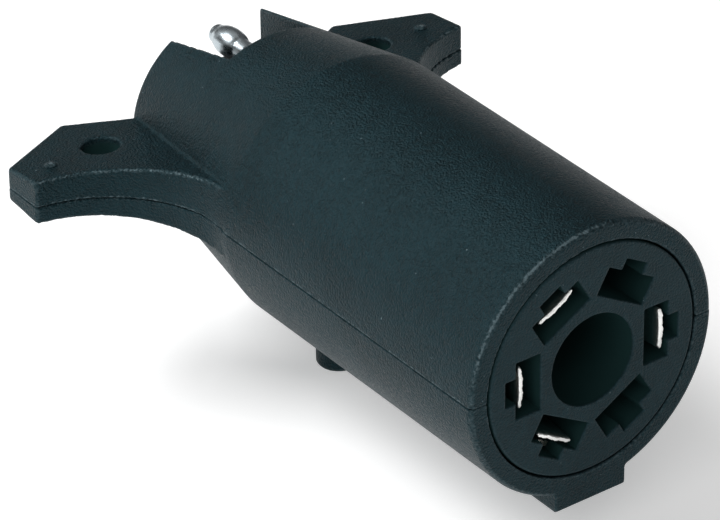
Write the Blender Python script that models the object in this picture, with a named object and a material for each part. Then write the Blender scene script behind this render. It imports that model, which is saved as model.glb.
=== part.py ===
"""Adapter from a seven-way blade trailer socket to a four-way flat trailer plug.

The body is a moulded nose that tapers to a round rear end, split into an upper and a lower
shell at the height of its axis. The working frame of the numbers below has the plug face at
y = 0, the rear end at +Y and the split at z = 0. They are millimetres, and the finished shapes are
brought to metres. The world frame has its origin at the bottom centre of the whole adapter.
"""
import math

import bmesh
import bpy
from mathutils import Matrix, Vector

METRES = 0.001

# How far a cutter runs past what it cuts: through an open end, and clear of everything
OVERRUN = 1.0
REACH = 60.0

# Outer body
NOSE_RADIUS = 22.25
NOSE_EDGE = 0.9
CONE_START = 60.4
SHOULDER = 1.5
SHOULDER_DROP = 0.27
REAR_END = 94.4
REAR_RADIUS = 16.3
REAR_EDGE = 0.5
SPLIT_GAP = 0.3

# Hollow inside the body
NOSE_BORE = 19.15
COLLAR_START = 31.0
COLLAR_END = 35.3
COLLAR_BORE = 20.5
PLATE_BORE = 19.6
PLATE_SEAT = 37.7
WIRE_SPACE_RADIUS = 19.0
CAVITY_END = 91.2
CAVITY_END_RADIUS = 13.6
BULKHEAD = (73.0, 76.0)

# Notch in the top of the rear end, over the bare pin
NOTCH_START = 79.0
NOTCH_HALF_FRONT = 7.9
NOTCH_HALF_REAR = 8.4
NOTCH_FLOOR = 8.0
NOTCH_WALL = 1.9

# Ears
EAR_TIP = 40.7
EAR_ARC_CENTRE = (42.8, 63.0)
EAR_ARC_RADIUS = 21.3
EAR_ROOT_X = 12.0
EAR_ROOT_FRONT = 56.0
EAR_ROOT_SIDE = 20.0
EAR_FRONT_CORNER = 84.5
EAR_TIP_REAR = 92.2
EAR_REAR_CORNER = (26.1, 99.7)
EAR_REAR_ROOT = (16.3, 93.5)
EAR_REAR_INNER = (12.0, 90.8)
EAR_ARC_END = 1.6
EAR_ARC_STEPS = 12
EAR_TIP_ROUNDING = 0.8
EAR_REAR_ROUNDING = 1.8
EAR_CORNER_ROUNDING = 2.5
EAR_EASED_FROM = 16.0
EAR_EDGE = 0.5
EAR_TOP = 4.33
EAR_TOP_SLOPE = -0.123
EAR_BOTTOM = -2.75
EAR_BOTTOM_SLOPE = 0.105
EAR_LEVEL_Y = 84.8
EAR_HOLE = (25.95, 88.5)
EAR_HOLE_RADIUS = 3.0
STAKE = (35.4, 88.15)
STAKE_RADIUS = 1.0
STAKE_PROUD = 0.55
STAKE_ROOT = -1.2
STAKE_DOME = 0.8

# Key and lid catch on the underside
KEY_HALF_WIDTH = 6.5
KEY_BOTTOM = -24.2
KEY_LENGTH = 34.0
KEY_HEIGHT = 5.0
KEY_RAMP = 4.0
KEY_EDGE = 0.3
CATCH_Y = 62.8
CATCH_RADIUS = 3.55
CATCH_BOTTOM = -32.45
CATCH_ROOT = 19.5
CATCH_EDGE = 0.6

# Insert with the six blade slots
INSERT_RADIUS = 18.85
INSERT_EDGE = 0.35
INSERT_COLLAR_RADIUS = 20.2
INSERT_COLLAR_START = 31.3
INSERT_END = 35.0
CENTRE_HOLE_RADIUS = 7.45
CENTRE_HOLE_DEPTH = 26.0
SLOT_INNER = 9.6
SLOT_OUTER = 14.0
SLOT_HALF_WIDTH = 4.75
TAB_OUTER = 15.9
TAB_HALF_WIDTH = 2.1
SLOT_ANGLES = (30, 90, 150, 210, 270, 330)

# Plate behind the insert
PLATE_RADIUS = 19.3
PLATE_THICKNESS = 2.0
PLATE_CENTRE_HOLE = 3.0
PLATE_HOLE_HALF = (2.1, 0.8)

# Blade contacts
STRAP_RADIAL = 14.9
STRAP_THICKNESS = 0.8
STRAP_HALF_WIDTH = 1.7
STRAP_FRONT = 3.0
PEDESTAL = (24.0, 27.0)
PEDESTAL_INNER = 12.6
PEDESTAL_HALF_WIDTH = 1.7
LEAF_FRONT = 0.2
LEAF_REAR = 23.7
LEAF_RADIAL = 12.95
LEAF_BOW = 0.75
LEAF_THICKNESS = 0.7
LEAF_HALF_WIDTH = 3.5
LEAF_ROUNDING = 0.4
LEAF_COLUMNS = 6
LEAF_ROWS = 12

# Wire barrels, on the blade contacts and on the rear terminals
BARREL_OUTER = 1.9
BARREL_INNER = 1.55
FRONT_BARREL = (37.6, 44.5)
REAR_BARREL = (63.5, 69.4)
BARREL_FLOOR = 1.2
WIRE_RADIUS = 1.25
WIRE_END_GAP = 0.6
WIRE_HASTE = 1.3
WIRE_STRAIGHT = 0.8
WIRE_STEPS = 18

# Four-way flat terminal block and its terminals
BLOCK_HALF_WIDTH = 4.7
BLOCK_ROOT = 70.0
BLOCK_REAR = 94.0
BLOCK_BOTTOM = -15.2
BLOCK_ROOT_TOP = 15.4
BLOCK_ROUND_STEPS = 10
FLANGE_HALF_WIDTH = 6.0
FLANGE_FRONT_END = 72.7
FLANGE_LIP = 0.4
FLANGE_REAR = (76.3, 78.3)
FLANGE_REAR_HEIGHTS = (-10.0, -1.5)
FIT_GAP = 0.3
TERMINAL_PITCH = 8.0
TOP_TERMINAL = 12.4
SHANK_RADIUS = 1.7
SHANK_HOLE_RADIUS = 2.2
SOCKET_BORE = 3.05
SOCKET_OUTER = 2.75
SOCKET_INNER = 2.3
SOCKET_START = 80.5
SOCKET_END = 92.6
PIN_RADIUS = 2.3
PIN_BODY_END = 84.4
PIN_NECK = ((85.2, 1.75), (87.5, 1.75))
PIN_HEAD = ((88.2, 2.1), (89.0, 2.3), (89.8, 2.39), (90.6, 2.38), (91.4, 2.31), (92.2, 2.19), (92.9, 2.02),
            (93.5, 1.83), (94.0, 1.62), (94.4, 1.28), (94.62, 0.8), (94.7, 0.0))

# The four circuits: name, clock angle of the blade slot, rear terminal counted from the top
CIRCUITS = (("ground", 330, 0), ("tail", 210, 1), ("left", 270, 2), ("right", 90, 3))

SEGMENTS = 72
SMALL_SEGMENTS = 24
SHARP_ANGLE = math.radians(35)

# Material name: colour, roughness, metallic
FINISHES = {
    "black_housing": ((0.016, 0.021, 0.024, 1.0), 0.62, 0.0),
    "black_insert": ((0.013, 0.018, 0.020, 1.0), 0.50, 0.0),
    "black_rubber": ((0.012, 0.012, 0.013, 1.0), 0.80, 0.0),
    "tinned_brass": ((0.72, 0.70, 0.64, 1.0), 0.25, 1.0),
    "bright_nickel": ((0.80, 0.79, 0.76, 1.0), 0.15, 1.0),
    "wire_white": ((0.80, 0.79, 0.76, 1.0), 0.50, 0.0),
    "wire_brown": ((0.14, 0.06, 0.03, 1.0), 0.50, 0.0),
    "wire_yellow": ((0.80, 0.55, 0.04, 1.0), 0.50, 0.0),
    "wire_green": ((0.03, 0.30, 0.07, 1.0), 0.50, 0.0),
}
WIRE_FINISH = {"ground": "wire_white", "tail": "wire_brown", "left": "wire_yellow", "right": "wire_green"}


def clear_scene():
    """Removes whatever the file holds already."""
    for scene_object in list(bpy.data.objects):
        bpy.data.objects.remove(scene_object, do_unlink=True)


def make_materials():
    """One material for each finish."""
    for name, (colour, roughness, metallic) in FINISHES.items():
        material = bpy.data.materials.new(name)
        material.use_nodes = True
        shader = material.node_tree.nodes["Principled BSDF"]
        shader.inputs["Base Color"].default_value = colour
        shader.inputs["Roughness"].default_value = roughness
        shader.inputs["Metallic"].default_value = metallic


def solid(name, verts, faces):
    """A closed mesh object whose faces point outwards."""
    mesh = bpy.data.meshes.new(name)
    shape = bmesh.new()
    corners = [shape.verts.new(vert) for vert in verts]
    for face in faces:
        shape.faces.new([corners[index] for index in face])
    bmesh.ops.recalc_face_normals(shape, faces=shape.faces)
    shape.to_mesh(mesh)
    shape.free()
    made = bpy.data.objects.new(name, mesh)
    bpy.context.collection.objects.link(made)
    return made


def turned(name, profile, segments=SMALL_SEGMENTS, x=0.0, z=0.0):
    """A solid turned about an axis along Y. The profile's (y, radius) points start and end on it."""
    verts = []
    rings = []
    for along, radius in profile:
        if radius == 0.0:
            rings.append([len(verts)])
            verts.append((x, along, z))
            continue
        rings.append(list(range(len(verts), len(verts) + segments)))
        for step in range(segments):
            angle = 2 * math.pi * (step + 0.5) / segments
            verts.append((x + radius * math.sin(angle), along, z + radius * math.cos(angle)))
    faces = []
    for ring, following in zip(rings, rings[1:]):
        for step in range(segments):
            other = (step + 1) % segments
            if len(ring) == 1:
                faces.append((ring[0], following[step], following[other]))
            elif len(following) == 1:
                faces.append((ring[step], following[0], ring[other]))
            else:
                faces.append((ring[step], following[step], following[other], ring[other]))
    return solid(name, verts, faces)


def arc_profile(centre, radius, start, end, steps):
    """Points (y, r) of an arc about a centre, by angles from the +r direction towards +Y."""
    points = []
    for step in range(steps + 1):
        angle = math.radians(start + (end - start) * step / steps)
        points.append((centre[0] + radius * math.sin(angle), centre[1] + radius * math.cos(angle)))
    return points


def prism(name, outline, low, high):
    """An outline of (x, y) points raised between two height functions of (x, y)."""
    count = len(outline)
    verts = [(x, y, low(x, y)) for x, y in outline]
    verts += [(x, y, high(x, y)) for x, y in outline]
    faces = [tuple(range(count)), tuple(range(count, 2 * count))]
    faces += [(i, (i + 1) % count, count + (i + 1) % count, count + i) for i in range(count)]
    return solid(name, verts, faces)


def bar(name, outline, front, rear):
    """An outline of (x, z) points drawn out along Y."""
    count = len(outline)
    verts = [(x, front, z) for x, z in outline]
    verts += [(x, rear, z) for x, z in outline]
    faces = [tuple(range(count)), tuple(range(count, 2 * count))]
    faces += [(i, (i + 1) % count, count + (i + 1) % count, count + i) for i in range(count)]
    return solid(name, verts, faces)


def box(name, low, high):
    """A box between two corners."""
    outline = ((low[0], low[2]), (high[0], low[2]), (high[0], high[2]), (low[0], high[2]))
    return bar(name, outline, low[1], high[1])


def rounded(points, steps=5):
    """An outline whose corners (x, y, radius) are rounded where the radius is above zero."""
    outline = []
    count = len(points)
    for index, (x, y, radius) in enumerate(points):
        corner = Vector((x, y))
        if radius == 0.0:
            outline.append((x, y))
            continue
        before = (Vector(points[index - 1][:2]) - corner).normalized()
        after = (Vector(points[(index + 1) % count][:2]) - corner).normalized()
        half = before.angle(after) / 2
        centre = corner + (before + after).normalized() * (radius / math.sin(half))
        first = corner + before * (radius / math.tan(half)) - centre
        turn = first.angle_signed(corner + after * (radius / math.tan(half)) - centre)
        for step in range(steps + 1):
            spoke = Matrix.Rotation(-turn * step / steps, 2) @ first
            outline.append((centre.x + spoke.x, centre.y + spoke.y))
    return outline


def ease_edges(target, width, segments, wanted):
    """Rounds the sharp edges for which the test of their middle point is true."""
    shape = bmesh.new()
    shape.from_mesh(target.data)
    edges = []
    for edge in shape.edges:
        middle = (edge.verts[0].co + edge.verts[1].co) / 2
        if edge.calc_face_angle(0.0) > SHARP_ANGLE and wanted(middle):
            edges.append(edge)
    bmesh.ops.bevel(shape, geom=edges, offset=width, segments=segments, profile=0.5, affect="EDGES")
    shape.to_mesh(target.data)
    shape.free()


def combine(target, tool, operation):
    """Joins, cuts or crosses the target with the tool, which is used up."""
    modifier = target.modifiers.new(operation, "BOOLEAN")
    modifier.operation = operation
    modifier.solver = "EXACT"
    modifier.object = tool
    evaluated = target.evaluated_get(bpy.context.evaluated_depsgraph_get())
    result = bpy.data.meshes.new_from_object(evaluated)
    target.modifiers.remove(modifier)
    shape = bmesh.new()
    shape.from_mesh(result)
    bmesh.ops.triangulate(shape, faces=[face for face in shape.faces if len(face.verts) > 4])
    shape.to_mesh(result)
    shape.free()
    target.data = result
    bpy.data.objects.remove(tool, do_unlink=True)
    return target


def join(target, *tools):
    """Adds each tool to the target."""
    for tool in tools:
        combine(target, tool, "UNION")
    return target


def cut(target, *tools):
    """Takes each tool's shape out of the target."""
    for tool in tools:
        combine(target, tool, "DIFFERENCE")
    return target


def duplicate(source, name):
    """A copy with a mesh of its own."""
    made = bpy.data.objects.new(name, source.data.copy())
    bpy.context.collection.objects.link(made)
    return made


def finish(part, material, smooth=True):
    """Gives a part its material and shading."""
    part.data.name = part.name
    part.data.materials.clear()
    part.data.materials.append(bpy.data.materials[material])
    if smooth:
        part.data.shade_smooth()
        part.data.set_sharp_from_angle(angle=SHARP_ANGLE)
    return part


def spun(part, clock_angle):
    """Turns a shape made at twelve o'clock about the Y axis to a clock angle."""
    part.data.transform(Matrix.Rotation(math.radians(clock_angle), 4, "Y"))
    return part


def upright(name, radius, low, high, x, y, dome=0.0):
    """A round bar along Z, with an optional domed top."""
    profile = [(-high, 0.0)]
    if dome:
        profile += arc_profile((-high + dome, radius - dome), dome, -90, 0, 4)
    else:
        profile.append((-high, radius))
    profile += [(-low, radius), (-low, 0.0)]
    made = turned(name, profile)
    made.data.transform(Matrix.Rotation(math.radians(-90), 4, "X"))
    made.data.transform(Matrix.Translation((x, y, 0.0)))
    return made


# ---------------------------------------------------------------- housing

def ear_top(x, y):
    """The height of the ears' top faces, which fall towards the rear."""
    return EAR_TOP + EAR_TOP_SLOPE * (y - EAR_LEVEL_Y)


def ear_bottom(x, y):
    """The height of the ears' undersides, which rise towards the rear."""
    return EAR_BOTTOM + EAR_BOTTOM_SLOPE * (y - EAR_LEVEL_Y)


def ear_outline():
    """The plan of the right ear, from its root to its tip and back."""
    centre_x, centre_y = EAR_ARC_CENTRE
    points = [(EAR_ROOT_X, EAR_ROOT_FRONT, 0.0), (EAR_ROOT_SIDE, EAR_ROOT_FRONT, 0.0)]
    end_angle = math.degrees(math.asin((EAR_TIP - EAR_ARC_END - centre_x) / EAR_ARC_RADIUS))
    for step in range(EAR_ARC_STEPS + 1):
        angle = math.radians(-90 + (end_angle + 90) * step / EAR_ARC_STEPS)
        x = centre_x + EAR_ARC_RADIUS * math.sin(angle)
        points.append((x, centre_y + EAR_ARC_RADIUS * math.cos(angle), 0.0))
    points.append((EAR_TIP, EAR_FRONT_CORNER, EAR_TIP_ROUNDING))
    points.append((EAR_TIP, EAR_TIP_REAR, EAR_REAR_ROUNDING))
    points.append((*EAR_REAR_CORNER, EAR_CORNER_ROUNDING))
    points.append((*EAR_REAR_ROOT, 0.0))
    points.append((*EAR_REAR_INNER, 0.0))
    return rounded(points)


def ear(side):
    """The right ear, or its mirror image on the left."""
    outline = ear_outline()
    shape = prism("ear", outline, ear_bottom, ear_top)
    ease_edges(shape, EAR_EDGE, 3, lambda middle: middle.x > EAR_EASED_FROM)
    if side < 0:
        shape.data.transform(Matrix.Scale(-1, 4, (1, 0, 0)))
        shape.data.flip_normals()
    return shape


def outer_body():
    """The nose, cone, ears, key and lid catch as one outer shape."""
    profile = [(0.0, 0.0)]
    profile += arc_profile((NOSE_EDGE, NOSE_RADIUS - NOSE_EDGE), NOSE_EDGE, -90, 0, 4)
    profile += [(CONE_START - SHOULDER, NOSE_RADIUS), (CONE_START + SHOULDER, NOSE_RADIUS - SHOULDER_DROP)]
    profile += arc_profile((REAR_END - REAR_EDGE, REAR_RADIUS - REAR_EDGE), REAR_EDGE, 10, 90, 3)
    profile += [(REAR_END, 0.0)]
    body = turned("body", profile, SEGMENTS)
    key_root = KEY_BOTTOM + KEY_HEIGHT
    key = box("key", (-KEY_HALF_WIDTH, 0.0, KEY_BOTTOM), (KEY_HALF_WIDTH, KEY_LENGTH, key_root))
    for vert in key.data.vertices:
        if vert.co.y > KEY_RAMP and vert.co.z < key_root:
            vert.co.y -= KEY_RAMP
    ease_edges(key, KEY_EDGE, 2, lambda middle: middle.z < key_root)
    catch = upright("catch", CATCH_RADIUS, CATCH_ROOT, -CATCH_BOTTOM, 0.0, 0.0, CATCH_EDGE)
    catch.data.transform(Matrix.Rotation(math.radians(180), 4, "X"))
    catch.data.transform(Matrix.Translation((0.0, CATCH_Y, 0.0)))
    return join(body, ear(1), ear(-1), key, catch)


def notch_outline(extra, rear):
    """The plan of the notch, flared towards the rear end."""
    flare = (NOTCH_HALF_REAR - NOTCH_HALF_FRONT) / (REAR_END - NOTCH_START)
    front = NOTCH_START - extra
    front_half = NOTCH_HALF_FRONT + extra
    rear_half = NOTCH_HALF_FRONT + extra + flare * (rear - NOTCH_START)
    return ((-front_half, front), (front_half, front), (rear_half, rear), (-rear_half, rear))


def cavity():
    """The hollow inside both shells, less the bulkhead and the notch's walls."""
    profile = [(-OVERRUN, 0.0), (-OVERRUN, NOSE_BORE), (COLLAR_START, NOSE_BORE), (COLLAR_START, COLLAR_BORE)]
    profile += [(COLLAR_END, COLLAR_BORE), (COLLAR_END, PLATE_BORE), (PLATE_SEAT, PLATE_BORE)]
    profile += [(PLATE_SEAT, WIRE_SPACE_RADIUS), (CONE_START, WIRE_SPACE_RADIUS)]
    profile += [(CAVITY_END, CAVITY_END_RADIUS), (CAVITY_END, 0.0)]
    hollow = turned("hollow", profile, SEGMENTS)
    bulkhead = box("bulkhead", (-REACH, BULKHEAD[0], -REACH), (REACH, BULKHEAD[1], REACH))
    walls = prism("walls", notch_outline(NOTCH_WALL, REAR_END + OVERRUN),
                  lambda x, y: NOTCH_FLOOR - NOTCH_WALL, lambda x, y: REACH)
    return cut(hollow, bulkhead, walls)


def block_outline(half_width, bottom, top):
    """The block's section: a straight-sided bar with a round bottom and a round top."""
    outline = []
    for centre, start in ((bottom + half_width, 90), (top - half_width, -90)):
        for step in range(BLOCK_ROUND_STEPS + 1):
            angle = math.radians(start + 180 * step / BLOCK_ROUND_STEPS)
            outline.append((half_width * math.sin(angle), centre + half_width * math.cos(angle)))
    return outline


def block_shape(gap):
    """The terminal block without its bores, grown by a gap on all sides."""
    half = BLOCK_HALF_WIDTH + gap
    rear = REAR_END + OVERRUN if gap else BLOCK_REAR
    block = bar("flat_terminal_block", block_outline(half, BLOCK_BOTTOM - gap, BLOCK_ROOT_TOP + gap),
                BLOCK_ROOT + FLANGE_LIP, rear)
    cut(block, box("step", (-REACH, NOTCH_START, NOTCH_FLOOR), (REACH, rear + OVERRUN, REACH)))
    wide = FLANGE_HALF_WIDTH + gap
    lip = FLANGE_LIP + gap
    front_flange = bar("front_flange", block_outline(wide, BLOCK_BOTTOM - lip, BLOCK_ROOT_TOP + lip),
                       BLOCK_ROOT - gap, FLANGE_FRONT_END)
    rear_flange = box("rear_flange", (-wide, FLANGE_REAR[0], FLANGE_REAR_HEIGHTS[0] - gap),
                      (wide, FLANGE_REAR[1] + gap, FLANGE_REAR_HEIGHTS[1] + gap))
    return join(block, front_flange, rear_flange)


def make_housings():
    """The two shells: the outer body split at its axis, hollowed and bored."""
    upper = cut(outer_body(), cavity(), block_shape(FIT_GAP))
    upper.name = "upper_housing"
    lower = duplicate(upper, "lower_housing")
    half_gap = SPLIT_GAP / 2
    far = REAR_END + REACH
    cut(upper, box("below", (-REACH, -REACH, -REACH), (REACH, far, half_gap)))
    cut(lower, box("above", (-REACH, -REACH, -half_gap), (REACH, far, REACH)))
    pocket = prism("pocket", notch_outline(0.0, REAR_END + OVERRUN),
                   lambda x, y: NOTCH_FLOOR, lambda x, y: REACH)
    cut(upper, pocket)
    for side in (-1, 1):
        for shell in (upper, lower):
            cut(shell, upright("ear_hole", EAR_HOLE_RADIUS, -REACH, REACH, side * EAR_HOLE[0], EAR_HOLE[1]))
        x, y = side * STAKE[0], STAKE[1]
        cut(upper, upright("stake_hole", STAKE_RADIUS + FIT_GAP, STAKE_ROOT, REACH, x, y))
        tip = ear_top(x, y) + STAKE_PROUD
        join(lower, upright("stake", STAKE_RADIUS, STAKE_ROOT, tip, x, y, STAKE_DOME))
    return [finish(upper, "black_housing"), finish(lower, "black_housing")]


# ---------------------------------------------------------------- insert and plate

def slot_cutter():
    """A T-shaped slot at twelve o'clock, with its tab outwards."""
    outline = ((-SLOT_HALF_WIDTH, SLOT_INNER), (SLOT_HALF_WIDTH, SLOT_INNER), (SLOT_HALF_WIDTH, SLOT_OUTER),
               (TAB_HALF_WIDTH, SLOT_OUTER), (TAB_HALF_WIDTH, TAB_OUTER), (-TAB_HALF_WIDTH, TAB_OUTER),
               (-TAB_HALF_WIDTH, SLOT_OUTER), (-SLOT_HALF_WIDTH, SLOT_OUTER))
    return bar("slot", outline, -OVERRUN, INSERT_END + OVERRUN)


def make_insert():
    """The plug's face and core, with a collar behind that the shells hold."""
    profile = [(0.0, 0.0), (0.0, INSERT_RADIUS - INSERT_EDGE), (INSERT_EDGE, INSERT_RADIUS)]
    profile += [(INSERT_COLLAR_START, INSERT_RADIUS), (INSERT_COLLAR_START, INSERT_COLLAR_RADIUS)]
    profile += [(INSERT_END, INSERT_COLLAR_RADIUS), (INSERT_END, 0.0)]
    insert = turned("plug_insert", profile, SEGMENTS)
    hole = turned("centre_hole", ((-OVERRUN, 0.0), (-OVERRUN, CENTRE_HOLE_RADIUS),
                                  (CENTRE_HOLE_DEPTH, CENTRE_HOLE_RADIUS), (CENTRE_HOLE_DEPTH, 0.0)),
                  SEGMENTS)
    cut(insert, hole)
    for angle in SLOT_ANGLES:
        cut(insert, spun(slot_cutter(), angle))
    return finish(insert, "black_insert")


def make_plate():
    """The disc that closes the insert's slots from behind, with a hole for each contact's strap."""
    front = COLLAR_END
    rear = front + PLATE_THICKNESS
    plate = turned("insert_backplate",
                   ((front, 0.0), (front, PLATE_RADIUS), (rear, PLATE_RADIUS), (rear, 0.0)), SEGMENTS)
    cut(plate, turned("centre", ((front - OVERRUN, 0.0), (front - OVERRUN, PLATE_CENTRE_HOLE),
                                 (rear + OVERRUN, PLATE_CENTRE_HOLE), (rear + OVERRUN, 0.0))))
    half_width, half_height = PLATE_HOLE_HALF
    for angle in SLOT_ANGLES:
        hole = box("hole", (-half_width, front - OVERRUN, STRAP_RADIAL - half_height),
                   (half_width, rear + OVERRUN, STRAP_RADIAL + half_height))
        cut(plate, spun(hole, angle))
    return finish(plate, "black_insert")


# ---------------------------------------------------------------- blade contacts

def make_contact(circuit, angle):
    """The fixed part of a contact: strap, pedestal and wire barrel."""
    low = STRAP_RADIAL - STRAP_THICKNESS / 2
    high = STRAP_RADIAL + STRAP_THICKNESS / 2
    start, end = FRONT_BARREL
    contact = box("blade_contact_" + circuit, (-STRAP_HALF_WIDTH, STRAP_FRONT, low),
                  (STRAP_HALF_WIDTH, start + BARREL_FLOOR / 2, high))
    pedestal = box("pedestal", (-PEDESTAL_HALF_WIDTH, PEDESTAL[0], PEDESTAL_INNER),
                   (PEDESTAL_HALF_WIDTH, PEDESTAL[1], STRAP_RADIAL))
    barrel = turned("barrel", ((start, 0.0), (start, BARREL_OUTER), (end, BARREL_OUTER), (end, BARREL_INNER),
                               (start + BARREL_FLOOR, BARREL_INNER), (start + BARREL_FLOOR, 0.0)),
                    SMALL_SEGMENTS, 0.0, STRAP_RADIAL)
    join(contact, pedestal, barrel)
    return finish(spun(contact, angle), "tinned_brass")


def leaf_point(across, along, side):
    """A point of the leaf: across and along run from -1 and 0 to 1, side is -1 or 1."""
    rounding = LEAF_ROUNDING * across * across * (1 - along)
    y = LEAF_FRONT + rounding + (LEAF_REAR - LEAF_FRONT - rounding) * along
    radial = LEAF_RADIAL - LEAF_BOW * math.sin(math.pi * along) + side * LEAF_THICKNESS / 2
    return (across * LEAF_HALF_WIDTH, y, radial)


def make_leaf(circuit, angle):
    """The bowed spring leaf that presses on a blade, with its origin on its flexing line."""
    columns, rows = LEAF_COLUMNS, LEAF_ROWS
    verts = []
    for side in (-1, 1):
        for row in range(rows + 1):
            for column in range(columns + 1):
                verts.append(leaf_point(2 * column / columns - 1, row / rows, side))
    layer = (rows + 1) * (columns + 1)

    def index(row, column, level):
        return level * layer + row * (columns + 1) + column

    faces = []
    for row in range(rows):
        for column in range(columns):
            for level in (0, 1):
                faces.append((index(row, column, level), index(row, column + 1, level),
                              index(row + 1, column + 1, level), index(row + 1, column, level)))
        for column in (0, columns):
            faces.append((index(row, column, 0), index(row + 1, column, 0),
                          index(row + 1, column, 1), index(row, column, 1)))
    for column in range(columns):
        for row in (0, rows):
            faces.append((index(row, column, 0), index(row, column + 1, 0),
                          index(row, column + 1, 1), index(row, column, 1)))
    leaf = spun(solid("contact_spring_" + circuit, verts, faces), angle)
    pivot = Matrix.Rotation(math.radians(angle), 3, "Y") @ Vector((0.0, LEAF_REAR, LEAF_RADIAL))
    leaf.data.transform(Matrix.Translation(-pivot))
    leaf.location = pivot
    return finish(leaf, "bright_nickel")


# ---------------------------------------------------------------- four-way flat end

def terminal_height(place):
    """The height of a rear terminal, by its place from the top."""
    return TOP_TERMINAL - TERMINAL_PITCH * place


def make_block():
    """The rubber block that holds the rear terminals, with a stepped bore for each."""
    block = block_shape(0.0)
    for place in range(len(CIRCUITS)):
        front = BLOCK_ROOT - OVERRUN
        step = SOCKET_START - FIT_GAP
        profile = [(front, 0.0), (front, SHANK_HOLE_RADIUS), (step, SHANK_HOLE_RADIUS)]
        if place > 0:
            profile += [(step, SOCKET_BORE), (REAR_END, SOCKET_BORE)]
        profile.append((profile[-1][0], 0.0))
        cut(block, turned("terminal_hole", profile, SMALL_SEGMENTS, 0.0, terminal_height(place)))
    return finish(block, "black_rubber")


def terminal_profile():
    """The wire barrel and the shank, which all four rear terminals share."""
    start, end = REAR_BARREL
    floor = end - BARREL_FLOOR
    return [(floor, 0.0), (floor, BARREL_INNER), (start, BARREL_INNER), (start, BARREL_OUTER),
            (end, BARREL_OUTER), (end, SHANK_RADIUS)]


def make_socket(circuit, place):
    """A tube terminal that takes a pin of the mating plug."""
    profile = terminal_profile()
    profile += [(SOCKET_START, SHANK_RADIUS), (SOCKET_START, SOCKET_OUTER), (SOCKET_END, SOCKET_OUTER)]
    profile += [(SOCKET_END, SOCKET_INNER), (SOCKET_START + 1.0, SOCKET_INNER), (SOCKET_START + 1.0, 0.0)]
    made = turned("flat_socket_" + circuit, profile, SMALL_SEGMENTS, 0.0, terminal_height(place))
    return finish(made, "tinned_brass")


def make_pin(circuit, place):
    """The bare bullet pin, with a neck behind its round head."""
    shoulder = NOTCH_START + FIT_GAP
    profile = terminal_profile()
    profile += [(shoulder, SHANK_RADIUS), (shoulder, PIN_RADIUS), (PIN_BODY_END, PIN_RADIUS)]
    profile += [*PIN_NECK, *PIN_HEAD]
    made = turned("flat_pin_" + circuit, profile, SMALL_SEGMENTS, 0.0, terminal_height(place))
    return finish(made, "bright_nickel")


def smooth_step(part):
    """Rises from 0 to 1 with no jerk at either end."""
    part = min(max(part, 0.0), 1.0)
    return part * part * part * (part * (6 * part - 15) + 10)


def wire_path(angle, place, sideways_first):
    """Points from a blade contact's barrel to a rear terminal's barrel on a smooth curve."""
    turn = math.radians(angle)
    start = Vector((STRAP_RADIAL * math.sin(turn), FRONT_BARREL[0] + BARREL_FLOOR + WIRE_END_GAP,
                    STRAP_RADIAL * math.cos(turn)))
    end = Vector((0.0, REAR_BARREL[1] - BARREL_FLOOR - WIRE_END_GAP, terminal_height(place)))
    leave = FRONT_BARREL[1] + WIRE_STRAIGHT
    arrive = REAR_BARREL[0] - WIRE_STRAIGHT
    points = [start]
    for step in range(WIRE_STEPS + 1):
        part = step / WIRE_STEPS
        first = smooth_step(part * WIRE_HASTE)
        second = smooth_step((part - 1) * WIRE_HASTE + 1)
        across, up = (first, second) if sideways_first else (second, first)
        points.append(Vector((start.x + (end.x - start.x) * across, leave + (arrive - leave) * part,
                              start.z + (end.z - start.z) * up)))
    return points + [end]


def make_wire(circuit, angle, place):
    """A wire; the tail circuit's starts sideways, to pass under and in front of its neighbours."""
    curve = bpy.data.curves.new("wire_" + circuit, "CURVE")
    curve.dimensions = "3D"
    curve.bevel_depth = WIRE_RADIUS
    curve.bevel_resolution = 3
    curve.use_fill_caps = True
    points = wire_path(angle, place, circuit == "tail")
    spline = curve.splines.new("POLY")
    spline.points.add(len(points) - 1)
    for target, point in zip(spline.points, points):
        target.co = (*point, 1.0)
    wire = bpy.data.objects.new(curve.name, curve)
    bpy.context.collection.objects.link(wire)
    curve.materials.append(bpy.data.materials[WIRE_FINISH[circuit]])
    return wire


def make_circuit(circuit, angle, place):
    """All four pieces of one circuit, from its blade slot to its rear terminal."""
    terminal = make_pin(circuit, place) if place == 0 else make_socket(circuit, place)
    fixed, leaf = make_contact(circuit, angle), make_leaf(circuit, angle)
    return [fixed, leaf, make_wire(circuit, angle, place), terminal]


def main():
    """Makes every piece in millimetres, then brings it to metres under the world frame's empty."""
    clear_scene()
    make_materials()
    parts = make_housings()
    parts += [make_insert(), make_plate(), make_block()]
    for circuit, angle, place in CIRCUITS:
        parts += make_circuit(circuit, angle, place)
    frame = bpy.data.objects.new("adapter_frame", None)
    bpy.context.collection.objects.link(frame)
    rearmost = max(y for x, y in ear_outline())
    frame.location = Vector((0.0, -rearmost / 2, -CATCH_BOTTOM)) * METRES
    for part in parts:
        part.data.transform(Matrix.Scale(METRES, 4))
        part.location = part.location * METRES
        part.parent = frame


main()
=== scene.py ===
"""The looks of a moulded trailer wiring adapter, built around its mechanical frame.

Sizes below are millimetres in the adapter's own frame: the plug face at y = 0, the body's axis
along +Y and the split between the two shells at z = 0. Place brings them to the world's metres.
"""
import logging
import math
from dataclasses import dataclass
from enum import Enum
from typing import Any, Callable, Iterator, NamedTuple, Optional

import bpy
import numpy as np
from mathutils import Matrix, Vector


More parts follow.
